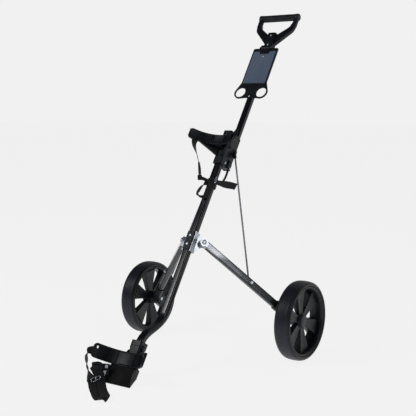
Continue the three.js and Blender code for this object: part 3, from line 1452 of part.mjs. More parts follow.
function addSlider() {
  add('slider_body', 'black_plastic', sliderBody());
  add('upper_cradle', 'black_plastic', upperCradle());
  add('cradle_bolt', 'silver_metal', cradleBolt());
  add('clamp_lever', 'black_plastic', clampLever());
  add('lever_pin', 'silver_metal', leverPinRod(0, 0));
  add('slider_screw', 'silver_metal', sliderScrew());
  add('end_block', 'black_plastic', endBlock());
  add('end_block_bolt', 'silver_metal', endBlockBolt());
}

function addHinge() {
  add('hinge_bracket', 'silver_metal', hingeBracket());
  add('hinge_front_plate', 'black_plastic', hingeFrontPlate());
  const [upper, lower] = rivetHeights();
  add('upper_hinge_rivet', 'silver_metal', rivet(upper));
  add('lower_hinge_rivet', 'silver_metal', rivet(lower));
  addPair('pivot_bolt', 'silver_metal', pivotBolt());
  addPair('pivot_nut', 'silver_metal', pivotNut());
}

function addLegs() {
  addPair('leg_knuckle', 'black_plastic', legKnuckle());
  addPair('leg_tube', 'leg_paint', leg());
  addPair('leg_elbow', 'black_plastic', legElbow());
  addPair('strut', 'strut_steel', strut());
  addPair('strut_cap', 'silver_metal', strutCap());
  addPair('strut_ferrule', 'black_plastic', strutFerrule());
}

function addWheels() {
  addPair('axle', 'silver_metal', axle(), trolley);
  addPair('rim', 'black_plastic', rim(), trolley);
  addPair('tyre', 'tyre_foam', tyre(), trolley);
  addPair('hub_cap', 'cap_grey', hubCap(), trolley);
}

function addFoot() {
  add('lower_cradle', 'black_plastic', lowerCradle());
  add('foot_pad', 'foot_rubber', footPad());
  add('foot_bolt', 'silver_metal', footBolt());
}

function addStraps() {
  add('upper_strap', 'webbing', upperStrap());
  add('upper_buckle', 'black_plastic', upperBuckle());
  add('strap_collar', 'webbing', strapCollar());
  add('strap_hook', 'silver_metal', strapHook());
  add('strap_tail', 'webbing', strapTail());
  add('lower_strap', 'webbing', lowerStrap(), trolley);
  add('wire_ring', 'silver_metal', wireRing(), trolley);
  add('lower_buckle', 'black_plastic', lowerBuckle(), trolley);
}

addTubes();
addHandle();
addCardHolder();
addSlider();
addHinge();
addLegs();
addWheels();
addFoot();
addStraps();

// The origin is on the ground, under the middle of the whole trolley.
const whole = new THREE.Box3().setFromObject(trolley, true);
trolley.position.set(-(whole.min.x + whole.max.x) / 2, -(whole.min.y + whole.max.y) / 2, -whole.min.z);

export default trolley;
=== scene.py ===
"""Looks for a two-wheel golf pull trolley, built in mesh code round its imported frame."""
import json
import math

import bmesh
import bpy
from mathutils import Matrix, Vector


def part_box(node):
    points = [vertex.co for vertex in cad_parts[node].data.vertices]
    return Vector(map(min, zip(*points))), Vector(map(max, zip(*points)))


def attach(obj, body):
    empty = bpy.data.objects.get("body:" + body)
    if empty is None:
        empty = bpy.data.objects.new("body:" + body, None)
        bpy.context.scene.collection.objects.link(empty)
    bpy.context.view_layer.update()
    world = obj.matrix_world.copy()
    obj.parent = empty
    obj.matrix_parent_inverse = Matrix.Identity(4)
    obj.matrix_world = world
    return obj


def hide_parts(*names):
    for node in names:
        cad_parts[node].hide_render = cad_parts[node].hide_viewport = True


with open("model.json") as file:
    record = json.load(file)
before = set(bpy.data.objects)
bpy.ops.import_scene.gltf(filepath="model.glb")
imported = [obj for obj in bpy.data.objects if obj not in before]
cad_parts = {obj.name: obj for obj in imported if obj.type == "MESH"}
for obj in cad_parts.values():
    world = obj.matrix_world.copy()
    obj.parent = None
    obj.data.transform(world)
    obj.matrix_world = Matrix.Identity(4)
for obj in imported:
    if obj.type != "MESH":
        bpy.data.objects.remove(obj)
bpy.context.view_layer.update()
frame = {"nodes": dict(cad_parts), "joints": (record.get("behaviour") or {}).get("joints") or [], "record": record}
RECORD = frame["record"]
NODES = frame["nodes"]
JOINTS = {joint["name"]: joint for joint in frame["joints"]}
MOUNTS = {mount["name"]: mount for mount in RECORD["mounts"]}
MM = 0.001

# ---- sizes, in millimetres, and counts of steps

PANEL_FACE_BACK = 25.0  # the panel mount's place in tube space
PANEL_FACE_UP = 650.0

TREAD_HALF = 15.5
TREAD_RIBS = 8
GROOVE_WIDTH = 1.1
GROOVE_DEPTH = 1.0
TREAD_CROWN = 0.9
TYRE_STEPS = 112
RIM_STEPS = 96
ROUND_STEPS = 64  # round a hub or its cap
SMALL_ROUND_STEPS = 48
SPOKES = 6
SPOKE_PHASE = 0.14  # radians that the first spoke stands from straight down
SPOKE_START = 16.0
SPOKE_END_INSIDE = 22.9  # how far inside the tread the spokes end
SPOKE_STEPS = 8

BAND_STEPS = 72
TIP_ROUNDING = 11.0  # how far along a band its tip is rounded off
TIP_SHARE = 0.55  # how much of its height a band keeps at its very tip
TIP_HOLE = (5, 8)  # along the band, and up
TIP_HOLE_LIFT = 10.5  # above the band's middle
TIP_HOLE_INSET = 12

WEBBING = 25.0
WEBBING_THICKNESS = 1.8
FOLDED = 5.4  # webbing folded on itself
WRAP_WIDTH = 15
WRAP_STEPS = 16

# ---- frames

UP = -Vector(JOINTS["upper_frame_slide"]["axis"])
BACK = Vector((0, UP.z, -UP.y))
ACROSS = Vector((1, 0, 0))
ORIGIN = (
    Vector(MOUNTS["score_panel_face"]["pos_m"])
    - BACK * PANEL_FACE_BACK * MM
    - UP * PANEL_FACE_UP * MM
)


def columns(x, y, z, origin):
    """The matrix that takes local x, y and z to three directions at a place."""
    matrix = Matrix((x, y, z)).transposed().to_4x4()
    matrix.translation = origin
    return matrix


TUBE = columns(ACROSS, BACK, UP, ORIGIN)


def at(x, back, up):
    """A point of tube space, in millimetres, as a place in metres."""
    return TUBE @ (Vector((x, back, up)) * MM)


def middle(name):
    """The middle of a CAD node's box."""
    low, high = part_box(name)
    return (low + high) / 2


# ---- camera, floor and light

CAMERA_PLACE = (1.5577, -2.1664, 0.7653)
CAMERA_AZIMUTH = 34.9
CAMERA_ELEVATION = 6.65
CAMERA_LENS = 76.7
SENSOR = 36

SEEN_BACKDROP = 0.879  # how bright the camera sees the world
BACKDROP = (0.2, 1.0, 0.0)  # the direction of the bright backdrop that gloss surfaces mirror
ROOM_DARK = 0.05
ROOM_BRIGHT = 0.80
KEY_POWER = 34
SIDE_POWER = 9

FLOOR_TONE = (0.10, 0.10, 0.10)
FLOOR_GLOW = 0.853
FLOOR_SIZE = 30
FLOOR_DROP = 0.0002  # keeps the floor just under the tyres


def make_camera():
    """The fitted pinhole camera."""
    data = bpy.data.cameras.new("camera")
    camera = bpy.data.objects.new("camera", data)
    bpy.context.scene.collection.objects.link(camera)
    data.sensor_width = SENSOR
    data.lens = CAMERA_LENS
    azimuth = math.radians(CAMERA_AZIMUTH)
    elevation = math.radians(CAMERA_ELEVATION)
    towards = Vector((
        math.sin(azimuth) * math.cos(elevation),
        -math.cos(azimuth) * math.cos(elevation),
        math.sin(elevation),
    ))
    camera.location = CAMERA_PLACE
    camera.rotation_mode = "QUATERNION"
    camera.rotation_quaternion = (-towards).to_track_quat("-Z", "Y")
    bpy.context.scene.camera = camera


def area_light(name, place, target, size, power):
    """A soft round light at a place, turned to its target."""
    data = bpy.data.lights.new(name, "AREA")
    data.shape = "DISK"
    data.size = size
    data.energy = power
    light = bpy.data.objects.new(name, data)
    bpy.context.scene.collection.objects.link(light)
    light.location = place
    light.rotation_mode = "QUATERNION"
    light.rotation_quaternion = (Vector(target) - Vector(place)).to_track_quat("-Z", "Y")


def make_studio():
    """A pale backdrop behind, a dim room round it, and soft lights in front."""
    world = bpy.data.worlds.new("studio")
    bpy.context.scene.world = world
    world.use_nodes = True
    tree = world.node_tree
    seen = tree.nodes["Background"]
    seen.inputs["Color"].default_value = (SEEN_BACKDROP, SEEN_BACKDROP, SEEN_BACKDROP, 1)
    room = node(tree, "ShaderNodeBackground")
    place = node(tree, "ShaderNodeTexCoord")
    towards = node(tree, "ShaderNodeVectorMath", operation="DOT_PRODUCT")
    towards.inputs[1].default_value = Vector(BACKDROP).normalized()
    link(tree, place.outputs["Generated"], towards.inputs[0])
    glow = spread(tree, towards.outputs["Value"], ROOM_DARK, ROOM_BRIGHT, 0.25, 0.85)
    link(tree, glow, room.inputs["Strength"])
    path = node(tree, "ShaderNodeLightPath")
    mix = node(tree, "ShaderNodeMixShader")
    link(tree, path.outputs["Is Camera Ray"], mix.inputs[0])
    link(tree, room.outputs[0], mix.inputs[1])
    link(tree, seen.outputs[0], mix.inputs[2])
    link(tree, mix.outputs[0], tree.nodes["World Output"].inputs["Surface"])
    area_light("key", (-1.7, -2.4, 2.6), (0, 0, 0.4), 1.2, KEY_POWER)
    area_light("side", (2.4, -0.9, 1.9), (0.1, 0, 0.5), 0.8, SIDE_POWER)
    bpy.context.scene.view_settings.view_transform = "Standard"


# ---- materials

GRAIN_DEPTH = 0.0002
LEG_SLANT = 1.7  # how far the silver's edge leans, for each step across the leg
LEG_SILVER = (0.055, 0.085)  # where the silver ends, down the leg, in metres
LEG_BLUE = (0.05, 0.19)  # where the printed hatch fades away
# painted light on the tyres: a lit tone for the tread and a painted shade for the side walls
TREAD_LIT_TONE = (0.0135, 0.0145, 0.0230)
WALL_SHADED_TONE = (0.0030, 0.0034, 0.0052)
WORN = 1.35  # how much paler the most worn tread is
COAT_ROUGHNESS = 0.12


def link(tree, source, target):
    """Joins one socket to another."""
    tree.links.new(source, target)


def node(tree, kind, **settings):
    """A new shader node with its settings."""
    made = tree.nodes.new(kind)
    for key, value in settings.items():
        setattr(made, key, value)
    return made


def fresh(name, colour, roughness, metallic=0.0, coat=0.0, specular=0.5):
    """A material, its tree and its shader, with the plain values set."""
    material = bpy.data.materials.new(name)
    material.use_nodes = True
    tree = material.node_tree
    shader = tree.nodes["Principled BSDF"]
    shader.inputs["Base Color"].default_value = (*colour, 1)
    shader.inputs["Roughness"].default_value = roughness
    shader.inputs["Metallic"].default_value = metallic
    shader.inputs["Coat Weight"].default_value = coat
    shader.inputs["Specular IOR Level"].default_value = specular
    shader.inputs["Coat Roughness"].default_value = COAT_ROUGHNESS
    return material, tree, shader


def noise(tree, scale, detail=4.0):
    """Noise that lies still on the object. The scale is in ripples a metre."""
    place = node(tree, "ShaderNodeTexCoord")
    texture = node(tree, "ShaderNodeTexNoise")
    texture.inputs["Scale"].default_value = scale
    texture.inputs["Detail"].default_value = detail
    link(tree, place.outputs["Object"], texture.inputs["Vector"])
    return texture.outputs["Fac"]


def spread(tree, value, low, high, from_low=0.35, from_high=0.65):
    """A value stretched from its own range to a new one."""
    ramp = node(tree, "ShaderNodeMapRange")
    ramp.inputs["From Min"].default_value = from_low
    ramp.inputs["From Max"].default_value = from_high
    ramp.inputs["To Min"].default_value = low
    ramp.inputs["To Max"].default_value = high
    link(tree, value, ramp.inputs["Value"])
    return ramp.outputs["Result"]


def mixed(tree, factor, first, second):
    """One colour going to another with a factor. A colour is a triple or a socket."""
    mix = node(tree, "ShaderNodeMix", data_type="RGBA")
    link(tree, factor, mix.inputs["Factor"])
    for name, colour in (("A", first), ("B", second)):
        socket = [s for s in mix.inputs if s.name == name and s.type == "RGBA"][0]
        if isinstance(colour, tuple):
            socket.default_value = (*colour, 1)
        else:
            link(tree, colour, socket)
    return [s for s in mix.outputs if s.type == "RGBA"][0]


def bumped(tree, shader, height, strength, distance):
    """Raises the surface by a height, as bump."""
    bump = node(tree, "ShaderNodeBump")
    bump.inputs["Strength"].default_value = strength
    bump.inputs["Distance"].default_value = distance
    link(tree, height, bump.inputs["Height"])
    link(tree, bump.outputs["Normal"], shader.inputs["Normal"])


def surface(name, dark, light, rough, grain, patch=9.0, bump=0.15, **plain):
    """Colour that drifts between two tones, roughness that varies, and a fine grain."""
    material, tree, shader = fresh(name, dark, rough[0], **plain)
    drift = noise(tree, patch)
    link(tree, mixed(tree, spread(tree, drift, 0, 1), dark, light), shader.inputs["Base Color"])
    link(tree, spread(tree, noise(tree, patch * 3), *rough), shader.inputs["Roughness"])
    bumped(tree, shader, noise(tree, grain, 6.0), bump, GRAIN_DEPTH)
    return material


def webbing_material():
    """Black webbing with a weave along its own length."""
    material, tree, shader = fresh("webbing_black", (0.012, 0.012, 0.014), 0.8)
    shader.inputs["Sheen Weight"].default_value = 0.03
    shader.inputs["Sheen Roughness"].default_value = 0.5
    place = node(tree, "ShaderNodeUVMap")
    waves = []
    for direction, scale in (("X", 260.0), ("Y", 330.0)):
        wave = node(tree, "ShaderNodeTexWave", bands_direction=direction)
        wave.inputs["Scale"].default_value = scale
        wave.inputs["Distortion"].default_value = 0.4
        link(tree, place.outputs["UV"], wave.inputs["Vector"])
        waves.append(wave.outputs["Fac"])
    weave = node(tree, "ShaderNodeMath", operation="MULTIPLY")
    link(tree, waves[0], weave.inputs[0])
    link(tree, waves[1], weave.inputs[1])
    tone = mixed(tree, weave.outputs["Value"], (0.0025, 0.0028, 0.004), (0.012, 0.013, 0.018))
    link(tree, tone, shader.inputs["Base Color"])
    bumped(tree, shader, weave.outputs["Value"], 0.7, 0.0004)
    return material


def leg_material(side):
    """Gloss black paint whose outer face starts silver at the hinge and fades on a slant."""
    material, tree, shader = fresh(f"{side}_leg_paint", (0.012, 0.013, 0.016), 0.3, 0.2, 0.5)
    joint = JOINTS[f"{side}_leg_fold"]
    pivot = Vector(joint["pos_m"])
    hinge = Vector(joint["axis"])
    foot = middle(f"{side}_axle") - pivot
    down = (foot - hinge * foot.dot(hinge)).normalized()
    wide = hinge.cross(down)
    place = node(tree, "ShaderNodeTexCoord")

    def measure(direction, origin, socket):
        centred = node(tree, "ShaderNodeVectorMath", operation="SUBTRACT")
        centred.inputs[1].default_value = origin
        link(tree, place.outputs[socket], centred.inputs[0])
        along = node(tree, "ShaderNodeVectorMath", operation="DOT_PRODUCT")
        along.inputs[1].default_value = direction
        link(tree, centred.outputs["Vector"], along.inputs[0])
        return along.outputs["Value"]

    run = measure(down, pivot, "Object")
    across = measure(wide, pivot, "Object")
    sign = 1 if side == "right" else -1
    outward = hinge if hinge.x * sign > 0 else -hinge
    facing = measure(outward, Vector((0, 0, 0)), "Normal")
    on_face = spread(tree, facing, 0, 1, 0.75, 0.85)
    slant = node(tree, "ShaderNodeMath", operation="MULTIPLY_ADD")
    slant.inputs[1].default_value = LEG_SLANT * sign
    link(tree, across, slant.inputs[0])
    link(tree, run, slant.inputs[2])
    fade = spread(tree, slant.outputs["Value"], 1, 0, *LEG_SILVER)
    streaks = node(tree, "ShaderNodeTexWave", bands_direction="DIAGONAL")
    streaks.inputs["Scale"].default_value = 60.0
    streaks.inputs["Distortion"].default_value = 2.5
    link(tree, place.outputs["Object"], streaks.inputs["Vector"])
    blue = spread(tree, run, 1, 0, *LEG_BLUE)
    hatch = node(tree, "ShaderNodeMath", operation="MULTIPLY")
    link(tree, streaks.outputs["Fac"], hatch.inputs[0])
    link(tree, blue, hatch.inputs[1])
    print_tone = mixed(
        tree, hatch.outputs["Value"], (0.012, 0.015, 0.022), (0.060, 0.088, 0.130),
    )
    face_tone = mixed(tree, fade, print_tone, (0.60, 0.62, 0.68))
    tone = mixed(tree, on_face, (0.014, 0.015, 0.019), face_tone)
    link(tree, tone, shader.inputs["Base Color"])
    link(tree, spread(tree, noise(tree, 30.0), 0.26, 0.38), shader.inputs["Roughness"])
    bumped(tree, shader, noise(tree, 400.0, 3.0), 0.02, GRAIN_DEPTH)
    return material


def tyre_material():
    """Black foam with painted light: the tread has a lighter lit tone that wear pales at random, and the side
    walls have a painted shade, chosen by which way the surface faces.
    """
    material, tree, shader = fresh("tyre_foam", TREAD_LIT_TONE, 0.42, specular=0.3)
    place = node(tree, "ShaderNodeTexCoord")
    parts = node(tree, "ShaderNodeSeparateXYZ")
    link(tree, place.outputs["Normal"], parts.inputs[0])
    facing = node(tree, "ShaderNodeMath", operation="ABSOLUTE")
    link(tree, parts.outputs["X"], facing.inputs[0])
    # the side walls, which face across the wheel, get the painted shade in place of the lit tread tone
    wall = spread(tree, facing.outputs["Value"], 0, 1, 0.35, 0.75)
    paler = tuple(WORN * c for c in TREAD_LIT_TONE)
    lit_and_worn_tread = mixed(tree, spread(tree, noise(tree, 6.0), 0, 1), TREAD_LIT_TONE, paler)
    link(tree, mixed(tree, wall, lit_and_worn_tread, WALL_SHADED_TONE), shader.inputs["Base Color"])
    link(tree, spread(tree, noise(tree, 24.0), 0.34, 0.46), shader.inputs["Roughness"])
    bumped(tree, shader, noise(tree, 700.0, 6.0), 0.12, GRAIN_DEPTH)
    return material


def make_materials():
    """Every material, under its slot's name. The legs have one each."""
    return {
        "black_tube": surface(
            "tube_paint", (0.0035, 0.0042, 0.0070), (0.005, 0.006, 0.010), (0.18, 0.24), 500,
            patch=4.0, bump=0.03,
        ),
        "black_plastic": surface(
            "moulded_plastic", (0.0040, 0.0048, 0.0080), (0.0075, 0.009, 0.0145), (0.34, 0.46), 900,
            patch=5.0, bump=0.12, specular=0.3,
        ),
        "grip_foam": surface(
            "grip_rubber", (0.008, 0.009, 0.011), (0.014, 0.015, 0.019), (0.6, 0.78), 1400,
            bump=0.5, specular=0.3,
        ),
        "tyre_foam": tyre_material(),
        "silver_metal": surface(
            "zinc_plate", (0.44, 0.47, 0.52), (0.55, 0.58, 0.64), (0.26, 0.36), 600,
            patch=5.0, bump=0.05, metallic=0.85,
        ),
        "strut_steel": surface(
            "plated_rod", (0.24, 0.24, 0.28), (0.34, 0.34, 0.39), (0.28, 0.42), 500,
            metallic=0.7,
        ),
        "panel_slate": surface(
            "panel_slate", (0.112, 0.152, 0.225), (0.128, 0.172, 0.252), (0.36, 0.46), 900,
            bump=0.1,
        ),
        "cap_grey": surface(
            "cap_grey", (0.014, 0.017, 0.026), (0.026, 0.031, 0.044), (0.34, 0.44), 700,
            specular=0.3,
        ),
        "foot_rubber": surface(
            "foot_rubber", (0.004, 0.004, 0.005), (0.008, 0.008, 0.009), (0.7, 0.9), 900,
            bump=0.4, specular=0.2,
        ),
        "webbing": webbing_material(),
        "right_leg": leg_material("right"),
        "left_leg": leg_material("left"),
    }


# ---- mesh making

CORNER_STEPS = 5
WIRE_STEPS = 6
WIRE_SIDES = 10


def mesh_from(name, points, faces):
    """A new mesh object from places in metres."""
    mesh = bpy.data.meshes.new(name)
    mesh.from_pydata([tuple(p) for p in points], [], faces)
    obj = bpy.data.objects.new(name, mesh)
    bpy.context.scene.collection.objects.link(obj)
    return obj


def close_up(obj, merge=1e-6, collapse=0.0):
    """Merges vertices that meet, collapses slivers and turns every face outwards."""
    work = bmesh.new()
    work.from_mesh(obj.data)
    bmesh.ops.remove_doubles(work, verts=work.verts, dist=merge)
    if collapse:
        bmesh.ops.dissolve_degenerate(work, edges=work.edges, dist=collapse)
    bmesh.ops.recalc_face_normals(work, faces=work.faces)
    work.to_mesh(obj.data)
    work.free()
    return obj


def loft(name, rings, cyclic=False, spacing=None):
    """A closed skin over rings with the same number of points, capped unless it is cyclic."""
    count = len(rings[0])
    points = [p for ring in rings for p in ring]
    faces = []
    uvs = []
    last = len(rings) if cyclic else len(rings) - 1
    for i in range(last):
        j = (i + 1) % len(rings)
        for k in range(count):
            m = (k + 1) % count
            faces.append((i * count + k, i * count + m, j * count + m, j * count + k))
            uvs.append(((k, i), (k + 1, i), (k + 1, i + 1), (k, i + 1)))
    if not cyclic:
        faces.append(tuple(reversed(range(count))))
        faces.append(tuple(range((len(rings) - 1) * count, len(rings) * count)))
    obj = mesh_from(name, points, faces)
    if spacing:
        layer = obj.data.uv_layers.new(name="UVMap")
        for polygon, corners in zip(obj.data.polygons, uvs):
            for loop, (k, i) in zip(polygon.loop_indices, corners):
                layer.data[loop].uv = (k * spacing[0], i * spacing[1])
    return close_up(obj)


def lathe(name, profile, centre, axis, segments=96):
    """A turned piece. The profile holds (radius, place along the axis) in millimetres."""
    axis = Vector(axis).normalized()
    side = axis.orthogonal().normalized()
    other = axis.cross(side)
    closed = profile[0][0] > 0 and profile[-1][0] > 0
    rings = []
    for i in range(segments):
        angle = 2 * math.pi * i / segments
        out = side * math.cos(angle) + other * math.sin(angle)
        rings.append([centre + (out * r + axis * a) * MM for r, a in profile])
    count = len(profile)
    faces = []
    for i in range(segments):
        j = (i + 1) % segments
        for k in range(count if closed else count - 1):
            m = (k + 1) % count
            faces.append((i * count + k, i * count + m, j * count + m, j * count + k))
    return close_up(mesh_from(name, [p for ring in rings for p in ring], faces), 1e-7, 1e-8)


def rounded(corners):
    """A closed outline from (x, y, radius) corners, each rounded by its own radius."""
    outline = []
    for i, (x, y, radius) in enumerate(corners):
        here = Vector((x, y))
        before = (Vector(corners[i - 1][:2]) - here).normalized()
        after = (Vector(corners[(i + 1) % len(corners)][:2]) - here).normalized()
        half = before.angle(after) / 2
        if radius <= 0 or half > math.pi / 2 - 0.01:
            outline.append(here)
            continue
        reach = radius / math.tan(half)
        for step in range(CORNER_STEPS + 1):
            t = step / CORNER_STEPS
            a = here + before * reach * (1 - t) ** 2
            outline.append(a + after * reach * t ** 2)
    return outline


def plate(name, loops, thickness, bevel, matrix):
    """A flat piece with rounded edges. Loops are outlines in millimetres, holes included."""
    curve = bpy.data.curves.new(name, "CURVE")
    curve.dimensions = "2D"
    curve.fill_mode = "BOTH"
    curve.extrude = (thickness / 2 - bevel) * MM
    curve.bevel_depth = bevel * MM
    curve.bevel_resolution = 2
    curve.offset = -bevel * MM
    for loop in loops:
        spline = curve.splines.new("POLY")
        spline.points.add(len(loop) - 1)
        for point, place in zip(spline.points, loop):
            point.co = (place.x * MM, place.y * MM, 0, 1)
        spline.use_cyclic_u = True
    shaped = bpy.data.objects.new(name + "_curve", curve)
    bpy.context.scene.collection.objects.link(shaped)
    bpy.context.view_layer.update()
    graph = bpy.context.evaluated_depsgraph_get()
    mesh = bpy.data.meshes.new_from_object(shaped.evaluated_get(graph))
    bpy.data.objects.remove(shaped)
    mesh.name = name
    obj = bpy.data.objects.new(name, mesh)
    bpy.context.scene.collection.objects.link(obj)
    mesh.transform(matrix)
    return close_up(obj, 2e-6)


def smooth_path(points, steps):
    """Points along a Catmull-Rom curve through the given vectors, of any length."""
    made = []
    for i in range(len(points) - 1):
        p0 = points[max(i - 1, 0)]
        p1 = points[i]
        p2 = points[i + 1]
        p3 = points[min(i + 2, len(points) - 1)]
        for step in range(steps):
            t = step / steps
            made.append(
                0.5 * (2 * p1 + (p2 - p0) * t + (2 * p0 - 5 * p1 + 4 * p2 - p3) * t * t
                       + (3 * p1 - p0 - 3 * p2 + p3) * t ** 3)
            )
    made.append(points[-1].copy())
    return made


def ribbon(name, route, width, thickness, steps=8):
    """A flat strap. The route holds (place, direction of its width), both vectors."""
    places = smooth_path([p for p, _ in route], steps)
    sides = smooth_path([d.normalized() for _, d in route], steps)
    half = width * MM / 2
    edge = thickness * MM / 2
    section = [(-1, 0), (-0.94, 1), (-0.5, 1.05), (0, 1.0), (0.5, 1.05), (0.94, 1), (1, 0),
               (0.94, -1), (0.5, -1.05), (0, -1.0), (-0.5, -1.05), (-0.94, -1)]
    rings = []
    for i, place in enumerate(places):
        ahead = places[min(i + 1, len(places) - 1)] - places[max(i - 1, 0)]
        ahead.normalize()
        side = sides[i] - ahead * sides[i].dot(ahead)
        side.normalize()
        normal = ahead.cross(side)
        rings.append([place + side * half * u + normal * edge * v for u, v in section])
    length = sum((b - a).length for a, b in zip(places, places[1:])) / (len(places) - 1)
    return loft(name, rings, spacing=(width * MM / 6, length))


def bar(name, path, width, height, wide, corner=0.35):
    """A rounded bar along a path of places. Wide is the direction of its width."""
    rings = []
    section = []
    for cx, cy, start in ((1, 1, 0), (-1, 1, 90), (-1, -1, 180), (1, -1, 270)):
        for step in range(4):
            angle = math.radians(start + step * 30)
            section.append((cx * (1 - corner) + corner * math.cos(angle),
                            cy * (1 - corner) + corner * math.sin(angle)))
    for i, place in enumerate(path):
        ahead = path[min(i + 1, len(path) - 1)] - path[max(i - 1, 0)]
        ahead.normalize()
        side = (wide - ahead * wide.dot(ahead)).normalized()
        normal = ahead.cross(side)
        rings.append([
            place + (side * u * width + normal * v * height) * MM / 2 for u, v in section
        ])
    return loft(name, rings)


# ---- dressing


def shade(obj, bevel=0.0, planar=False):
    """Smooth shading with flat faces kept flat, and small rounded edges."""
    for name in ("custom_normal", "sharp_edge", "sharp_face"):
        attribute = obj.data.attributes.get(name)
        if attribute:
            obj.data.attributes.remove(attribute)
    obj.data.polygons.foreach_set("use_smooth", [True] * len(obj.data.polygons))
    if planar:
        weld = obj.modifiers.new("weld", "WELD")
        weld.merge_threshold = 2e-5
        flat = obj.modifiers.new("flat", "DECIMATE")
        flat.decimate_type = "DISSOLVE"
        flat.angle_limit = math.radians(1.0)
    if bevel:
        edge = obj.modifiers.new("edge", "BEVEL")
        edge.width = bevel * MM
        edge.segments = 2
        edge.limit_method = "ANGLE"
        edge.angle_limit = math.radians(38)
    weighted = obj.modifiers.new("weighted", "WEIGHTED_NORMAL")
    weighted.keep_sharp = True
    weighted.weight = 60
    return obj


def dress(obj, paint, body, slot, *stands_for, look=None, bevel=0.0):
    """Gives a piece the material of its slot or of its look, shades it, puts it on its body and hides the CAD
    nodes it stands for.
    """
    obj.data.materials.clear()
    obj.data.materials.append(paint[look or slot])
    shade(obj, bevel)
    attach(obj, body)
    if stands_for:
        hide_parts(*stands_for)


def keep(name, material, bevel=0.4):
    """A CAD node that stays, with a procedural material and rounded edges."""
    obj = NODES[name]
    obj.data.materials.clear()
    obj.data.materials.append(material)
    shade(obj, bevel, planar=True)


# ---- wheels


def tread():
    """The grooved band of the tyre, from one shoulder to the other."""
    radius = wheel_radius()
    pitch = 2 * TREAD_HALF / TREAD_RIBS
    points = []
    for i in range(TREAD_RIBS):
        start = TREAD_HALF - i * pitch
        for place in (start - GROOVE_WIDTH / 2, start - pitch + GROOVE_WIDTH / 2):
            points.append((radius - TREAD_CROWN * (place / TREAD_HALF) ** 2, place))
        bottom = start - pitch
        if i < TREAD_RIBS - 1:
            crown = TREAD_CROWN * (bottom / TREAD_HALF) ** 2
            points.append((radius - crown - GROOVE_DEPTH, bottom))
    return points


def wheel_radius():
    """The tyre's radius in millimetres, from its CAD box."""
    low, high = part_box("right_tyre")
    return (high.z - low.z) / 2 / MM


def wheel_half():
    """Half the tyre's width."""
    low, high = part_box("right_tyre")
    return (high.x - low.x) / 2 / MM


def make_tyre(side, centre, out, paint):
    """The grooved tyre with its bulging side walls."""
    radius = wheel_radius()
    half = wheel_half()
    wall = [
        (radius - 19.2, half - 6.0),
        (radius - 14.4, half - 6.0),
        (radius - 13.8, half - 2.4),
        (radius - 12.8, half - 1.0),
        (radius - 11.0, half - 0.1),
        (radius - 8.6, half),
        (radius - 6.4, half - 0.9),
        (radius - 4.4, half - 2.6),
        (radius - 2.8, half - 5.0),
        (radius - 1.7, half - 7.6),
    ]
    profile = wall + tread() + [(r, -a) for r, a in reversed(wall)]
    tyre = lathe(f"{side}_ribbed_tyre", profile, centre, out, TYRE_STEPS)
    dress(tyre, paint, f"{side}_wheel", "tyre_foam", f"{side}_tyre")


def make_rim(side, centre, out, paint):
    """The deep barrel with its rolled lips, its broad spokes, the hub and the cap."""
    radius = wheel_radius()
    barrel = [
        (radius - 19.6, 19.0),
        (radius - 15.0, 19.6),
        (radius - 14.2, 21.2),
        (radius - 14.8, 23.4),
        (radius - 16.6, 24.2),
        (radius - 18.6, 23.2),
        (radius - 19.8, 21.0),
        (radius - 22.6, 19.6),
        (radius - 23.6, 12.0),
        (radius - 24.6, 3.0),
    ]
    profile = barrel + [(r, -a) for r, a in reversed(barrel)]
    rim = lathe(f"{side}_deep_rim", profile, centre, out, RIM_STEPS)
    dress(rim, paint, f"{side}_wheel", "black_plastic", f"{side}_rim")
    for index in range(SPOKES):
        make_spoke(side, centre, out, index, paint)
    hub = lathe(f"{side}_hub", [
        (6.6, -26.0), (17.0, -26.0), (19.0, -24.5), (20.5, -12.0), (22.5, -4.0),
        (22.5, 4.0), (20.5, 6.8), (19.6, 8.0), (6.6, 8.0),
    ], centre, out, ROUND_STEPS)
    dress(hub, paint, f"{side}_wheel", "black_plastic")
    cap = lathe(f"{side}_domed_cap", [
        (0.0, 11.6), (11.6, 11.6), (11.6, 8.4), (18.6, 8.4), (19.0, 9.0), (19.0, 11.2),
        (18.2, 12.6), (16.4, 13.4), (14.6, 13.5), (13.8, 12.9), (13.0, 13.5),
        (9.0, 14.3), (4.0, 14.65), (0.0, 14.7),
    ], centre, out, ROUND_STEPS)
    dress(cap, paint, f"{side}_wheel", "cap_grey", f"{side}_hub_cap")


def make_spoke(side, centre, out, index, paint):
    """A spoke that flares towards the barrel, with a crowned face and a ribbed edge."""
    angle = SPOKE_PHASE + 2 * math.pi * index / SPOKES
    away = Vector((0, math.sin(angle), -math.cos(angle)))
    across = Vector((0, math.cos(angle), math.sin(angle)))
    end = wheel_radius() - SPOKE_END_INSIDE
    rings = []
    for step in range(SPOKE_STEPS + 1):
        share = step / SPOKE_STEPS
        reach = SPOKE_START + (end - SPOKE_START) * share
        width = 9.5 + 16.0 * share ** 1.2
        front = 5.0 + 4.5 * share ** 2
        rear = -9.0 - 10.0 * share
        section = [
            (-width, rear), (-width, front - 3.0), (-width * 0.93, front - 0.8),
            (-width * 0.80, front - 0.2), (-width * 0.4, front - 1.2), (0, front - 1.6),
            (width * 0.4, front - 1.2), (width * 0.80, front - 0.2),
            (width * 0.93, front - 0.8), (width, front - 3.0), (width, rear),
        ]
        rings.append([
            centre + (away * math.sqrt(reach * reach - u * u) + across * u + out * a) * MM
            for u, a in section
        ])
    spoke = loft(f"{side}_spoke_{index}", rings)
    dress(spoke, paint, f"{side}_wheel", "black_plastic", bevel=0.7)


def make_wheels(paint):
    """Both wheels, each round its tyre's CAD box."""
    for side, sign in (("right", 1), ("left", -1)):
        centre = middle(f"{side}_tyre")
        out = Vector((sign, 0, 0))
        make_tyre(side, centre, out, paint)
        make_rim(side, centre, out, paint)


# ---- handle and scorecard holder

